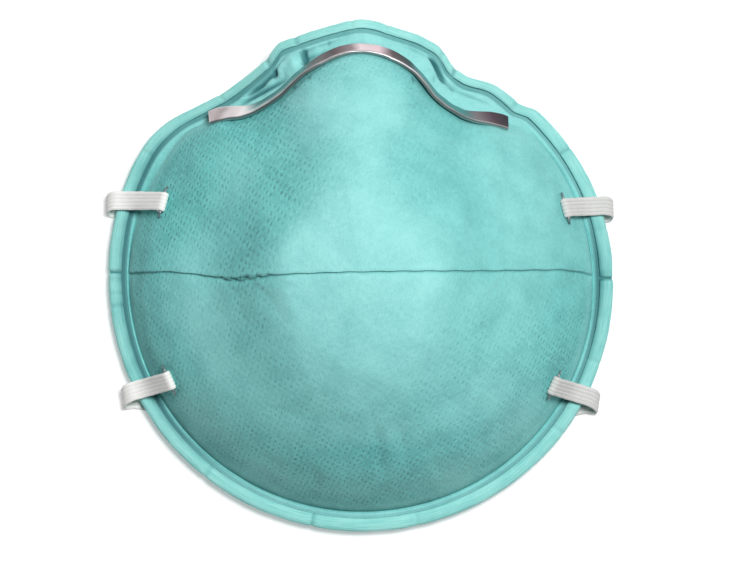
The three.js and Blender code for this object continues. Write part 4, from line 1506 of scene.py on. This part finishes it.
def elastic_finish():
    finish = Finish("braided_elastic", Roughness=0.8, Sheen_Weight=0.1, Sheen_Roughness=0.4)
    flat = finish.flat_place()
    u, v, _ = finish.split(flat)
    lean = abs((v / (STRAP_WIDTH / RIBS * MM)).fraction() - 0.5)
    groove = lean.rises(0.3, 0.5)
    thread = finish.cloud(finish.stretch(flat, 0.25, 1.0, 1.0), 0.4, 3, 0.6)
    fibre = finish.cloud(finish.place(), 0.35, 3, 0.7)
    finish.relief(thread * 0.08 + fibre * 0.05 - groove * 0.05)
    # Painted light: lighter towards the strap's left end and darker towards its right end.
    painted_light_along = (u / MM).rises(0, STRAP_LENGTH)
    tone = (fibre - 0.5) * 0.27 + (thread - 0.5) * 0.3 - groove * 0.23
    tone = tone - (painted_light_along - 0.5) * PAINTED_LIGHT_STEP + 0.65
    finish.feed("Base Color", finish.tint(tone, (190, 190, 188), (250, 250, 246)))
    return finish.material


# %% [markdown]
# A strap is a flat grid with a thickness. Its two faces are raised into ribs, its edges are
# thinner, and its width wavers a little, as the braid's does. Then it is laid along its route.

# %% Make the straps
STRAP_COLUMNS = 400
CORE, RIB = 0.6 * STRAP_THICKNESS, 0.15 * STRAP_THICKNESS
RIB_POWER = 0.6
EDGE_THICKNESS = 0.55
WIDTH_WAVER = 0.012


def make_strap(route):
    length = route_length(route)
    strap = flat_strip(length, STRAP_WIDTH, STRAP_COLUMNS, 5 * RIBS)
    flat = points_of(strap)
    write_uv(strap, flat[:, 0], flat[:, 1] + STRAP_WIDTH / 2)
    apply_modifier(strap, "SOLIDIFY", thickness=CORE * MM, offset=0.0)
    along, across, up = points_of(strap).T
    rib = abs(np.cos((across / STRAP_WIDTH + 0.5) * RIBS * np.pi + np.pi / 2)) ** RIB_POWER
    edge = smoothstep(STRAP_WIDTH / 2 - abs(across), 0, 0.5)
    up = (up + np.sign(up) * RIB * rib * edge) * (EDGE_THICKNESS + (1 - EDGE_THICKNESS) * edge)
    across = across * (1 - WIDTH_WAVER * (1 + np.sin(along * 1.7)))
    move_points(strap, np.stack([along, across, up], axis=-1))
    lay_along(strap, route)
    strap.data.shade_smooth()
    print("the strap is", round(length, 1), "mm long")
    return strap


elastic = elastic_finish()
for side, level_share in (("upper", 0.0), ("lower", 0.25)):
    strap = make_strap(strap_route(side + "_left", side + "_right", level_share))
    finish_piece(strap, side + "_strap_elastic", elastic, "strap_elastic", side + "_strap")


# %% [markdown]
# ## The staples
#
# A staple holds each folded strap end. It is round steel wire: a crown across the strap, two legs
# through the wall, and the points turned in behind it. The wire is dull and faintly scratched,
# and noise is enough for that.

# %% Wire finish
def wire_finish():
    finish = Finish("steel_wire", Metallic=0.6)
    grain = finish.cloud(finish.place(), 0.4, 3, 0.6)
    finish.relief(grain * 0.04)
    finish.feed("Roughness", 0.3 + grain * 0.2)
    dull, bright = colour(120, 123, 126), colour(172, 175, 178)
    finish.feed("Base Color", finish.blend_colours(grain.rises(0.3, 0.7), dull, bright))
    return finish.material


# %% [markdown]
# The route is drawn flat first, half of it and then its mirror image, as a place across the
# strap, a height over the cup and the way that the wire's outer side looks. The crown's
# shoulders are round, and the legs go straight down to the cloth and then squarely through it.

# %% A staple's route
CROWN = 9.0
CLINCH = 2.6
CORNER = 0.8
SHOULDER = 1.25
LEG = CROWN / 2 - WIRE / 2


def corner(x, y, radius, first):
    """A quarter turn round a middle, from the first direction on."""
    turns = [(turn, math.radians(turn)) for turn in range(first, first + 91, 15)]
    return [(x + radius * math.cos(way), y + radius * math.sin(way), turn) for turn, way in turns]


def staple_route(spot):
    below = -(WALL + GAP + WIRE / 2 + 3 * ROOM)
    half = [(LEG - CLINCH, below, 270), *corner(LEG - CORNER, below + CORNER, CORNER, 270),
            *corner(LEG - SHOULDER, WIRE_STAND - SHOULDER, SHOULDER, 0)]
    whole = half + [(-x, y, 180 - turn) for x, y, turn in half[::-1]]
    sink = (spot.normal - UP / spot.normal[2]) * WIRE_STAND
    at = [spot.foot + spot.across * x + spot.normal * y + sink * (1 - max(y, 0) / WIRE_STAND)
          for x, y, _ in whole]
    turns = [math.radians(turn) for _, _, turn in whole]
    side = [spot.across * math.cos(turn) + spot.normal * math.sin(turn) for turn in turns]
    return np.array(at), np.array(side), np.array([spot.down] * len(whole))


# %% [markdown]
# One wire is modelled as a cylinder that is cut into short lengths, so that it can bend, and
# each staple is a copy of it with its own mesh, laid along its own route.

# %% Make the staples
WIRE_SIDES = 14
WIRE_CUTS = 90


def straight_wire(length):
    start_fresh()
    bpy.ops.mesh.primitive_cylinder_add(
        vertices=WIRE_SIDES, radius=WIRE / 2 * MM, depth=length * MM,
        rotation=(0, math.pi / 2, 0), location=(length / 2 * MM, 0, 0))
    wire = bpy.context.object
    bpy.ops.object.transform_apply(location=True, rotation=True, scale=True)
    bpy.ops.object.mode_set(mode="EDIT")
    bpy.ops.mesh.select_mode(type="EDGE")
    bpy.ops.mesh.select_all(action="DESELECT")
    bpy.ops.object.mode_set(mode="OBJECT")
    points = wire.data.vertices
    for edge in wire.data.edges:
        first, last = (points[i].co.x for i in edge.vertices)
        edge.select = abs(first - last) > length / 2 * MM
    bpy.ops.object.mode_set(mode="EDIT")
    bpy.ops.mesh.subdivide(number_cuts=WIRE_CUTS)
    bpy.ops.object.mode_set(mode="OBJECT")
    return wire


steel = wire_finish()
wire_length = route_length(staple_route(spots["upper_left"]))
wire = straight_wire(wire_length)
print("the staples' wire is", round(wire_length, 1), "mm long")
for name, spot in spots.items():
    staple = wire.copy()
    staple.data = wire.data.copy()
    bpy.context.scene.collection.objects.link(staple)
    lay_along(staple, staple_route(spot))
    staple.data.shade_smooth()
    finish_piece(staple, "wire_" + name, steel, "staple_wire", "staple_" + name)
bpy.data.objects.remove(wire)


# %% [markdown]
# ## The table and the light
#
# Catalogue pictures of white and pale things are often lit on a light table, whose top glows a
# little, so that shadows on it stay faint. The floor here does that. It is larger than any view
# of the cup, so that no edge of it shows, and it lies a hair below the pieces.

# %% Table
FLOOR_SIZE = 8.0
FLOOR_DEPTH = 0.05
FLOOR_GLOW = 0.33


def floor_finish():
    white, grey = (1.0, 1.0, 1.0, 1.0), (0.74, 0.74, 0.74, 1.0)
    finish = Finish("pale_table", Roughness=0.9, Specular_IOR_Level=0.1, Base_Color=grey,
                    Emission_Color=white, Emission_Strength=FLOOR_GLOW)
    return finish.material


start_fresh()
bpy.ops.mesh.primitive_plane_add(size=FLOOR_SIZE, location=(0, 0, -FLOOR_DEPTH * MM))
floor = bpy.context.object
floor.name = "table"
floor.data.materials.append(floor_finish())


# %% [markdown]
# One broad soft lamp hangs high over the upper right and gives the dome its shape: the flat top
# is bright, and the sides fall away to a deeper tone. A second lamp would flatten it, so there
# is only a breath of light from the rest of the room.

# %% Lamp and world
KEY_PLACE = (0.39, 0.53, 1.9)
KEY_SIZE = 0.6
KEY_WATTS = 40.0
ROOM_LIGHT = 0.07
ROOM_COLOUR = (0.93, 0.96, 1.0, 1.0)

bpy.ops.object.light_add(type="AREA", location=KEY_PLACE)
key = bpy.context.object
key.name = "key_overhead"
key.data.size = KEY_SIZE
key.data.energy = KEY_WATTS
key.rotation_euler = (-Vector(KEY_PLACE)).to_track_quat("-Z", "Y").to_euler()

world = bpy.data.worlds.new("studio")
world.use_nodes = True
background = world.node_tree.nodes["Background"]
background.inputs["Color"].default_value = ROOM_COLOUR
background.inputs["Strength"].default_value = ROOM_LIGHT
bpy.context.scene.world = world
bpy.context.scene.view_settings.view_transform = "Standard"
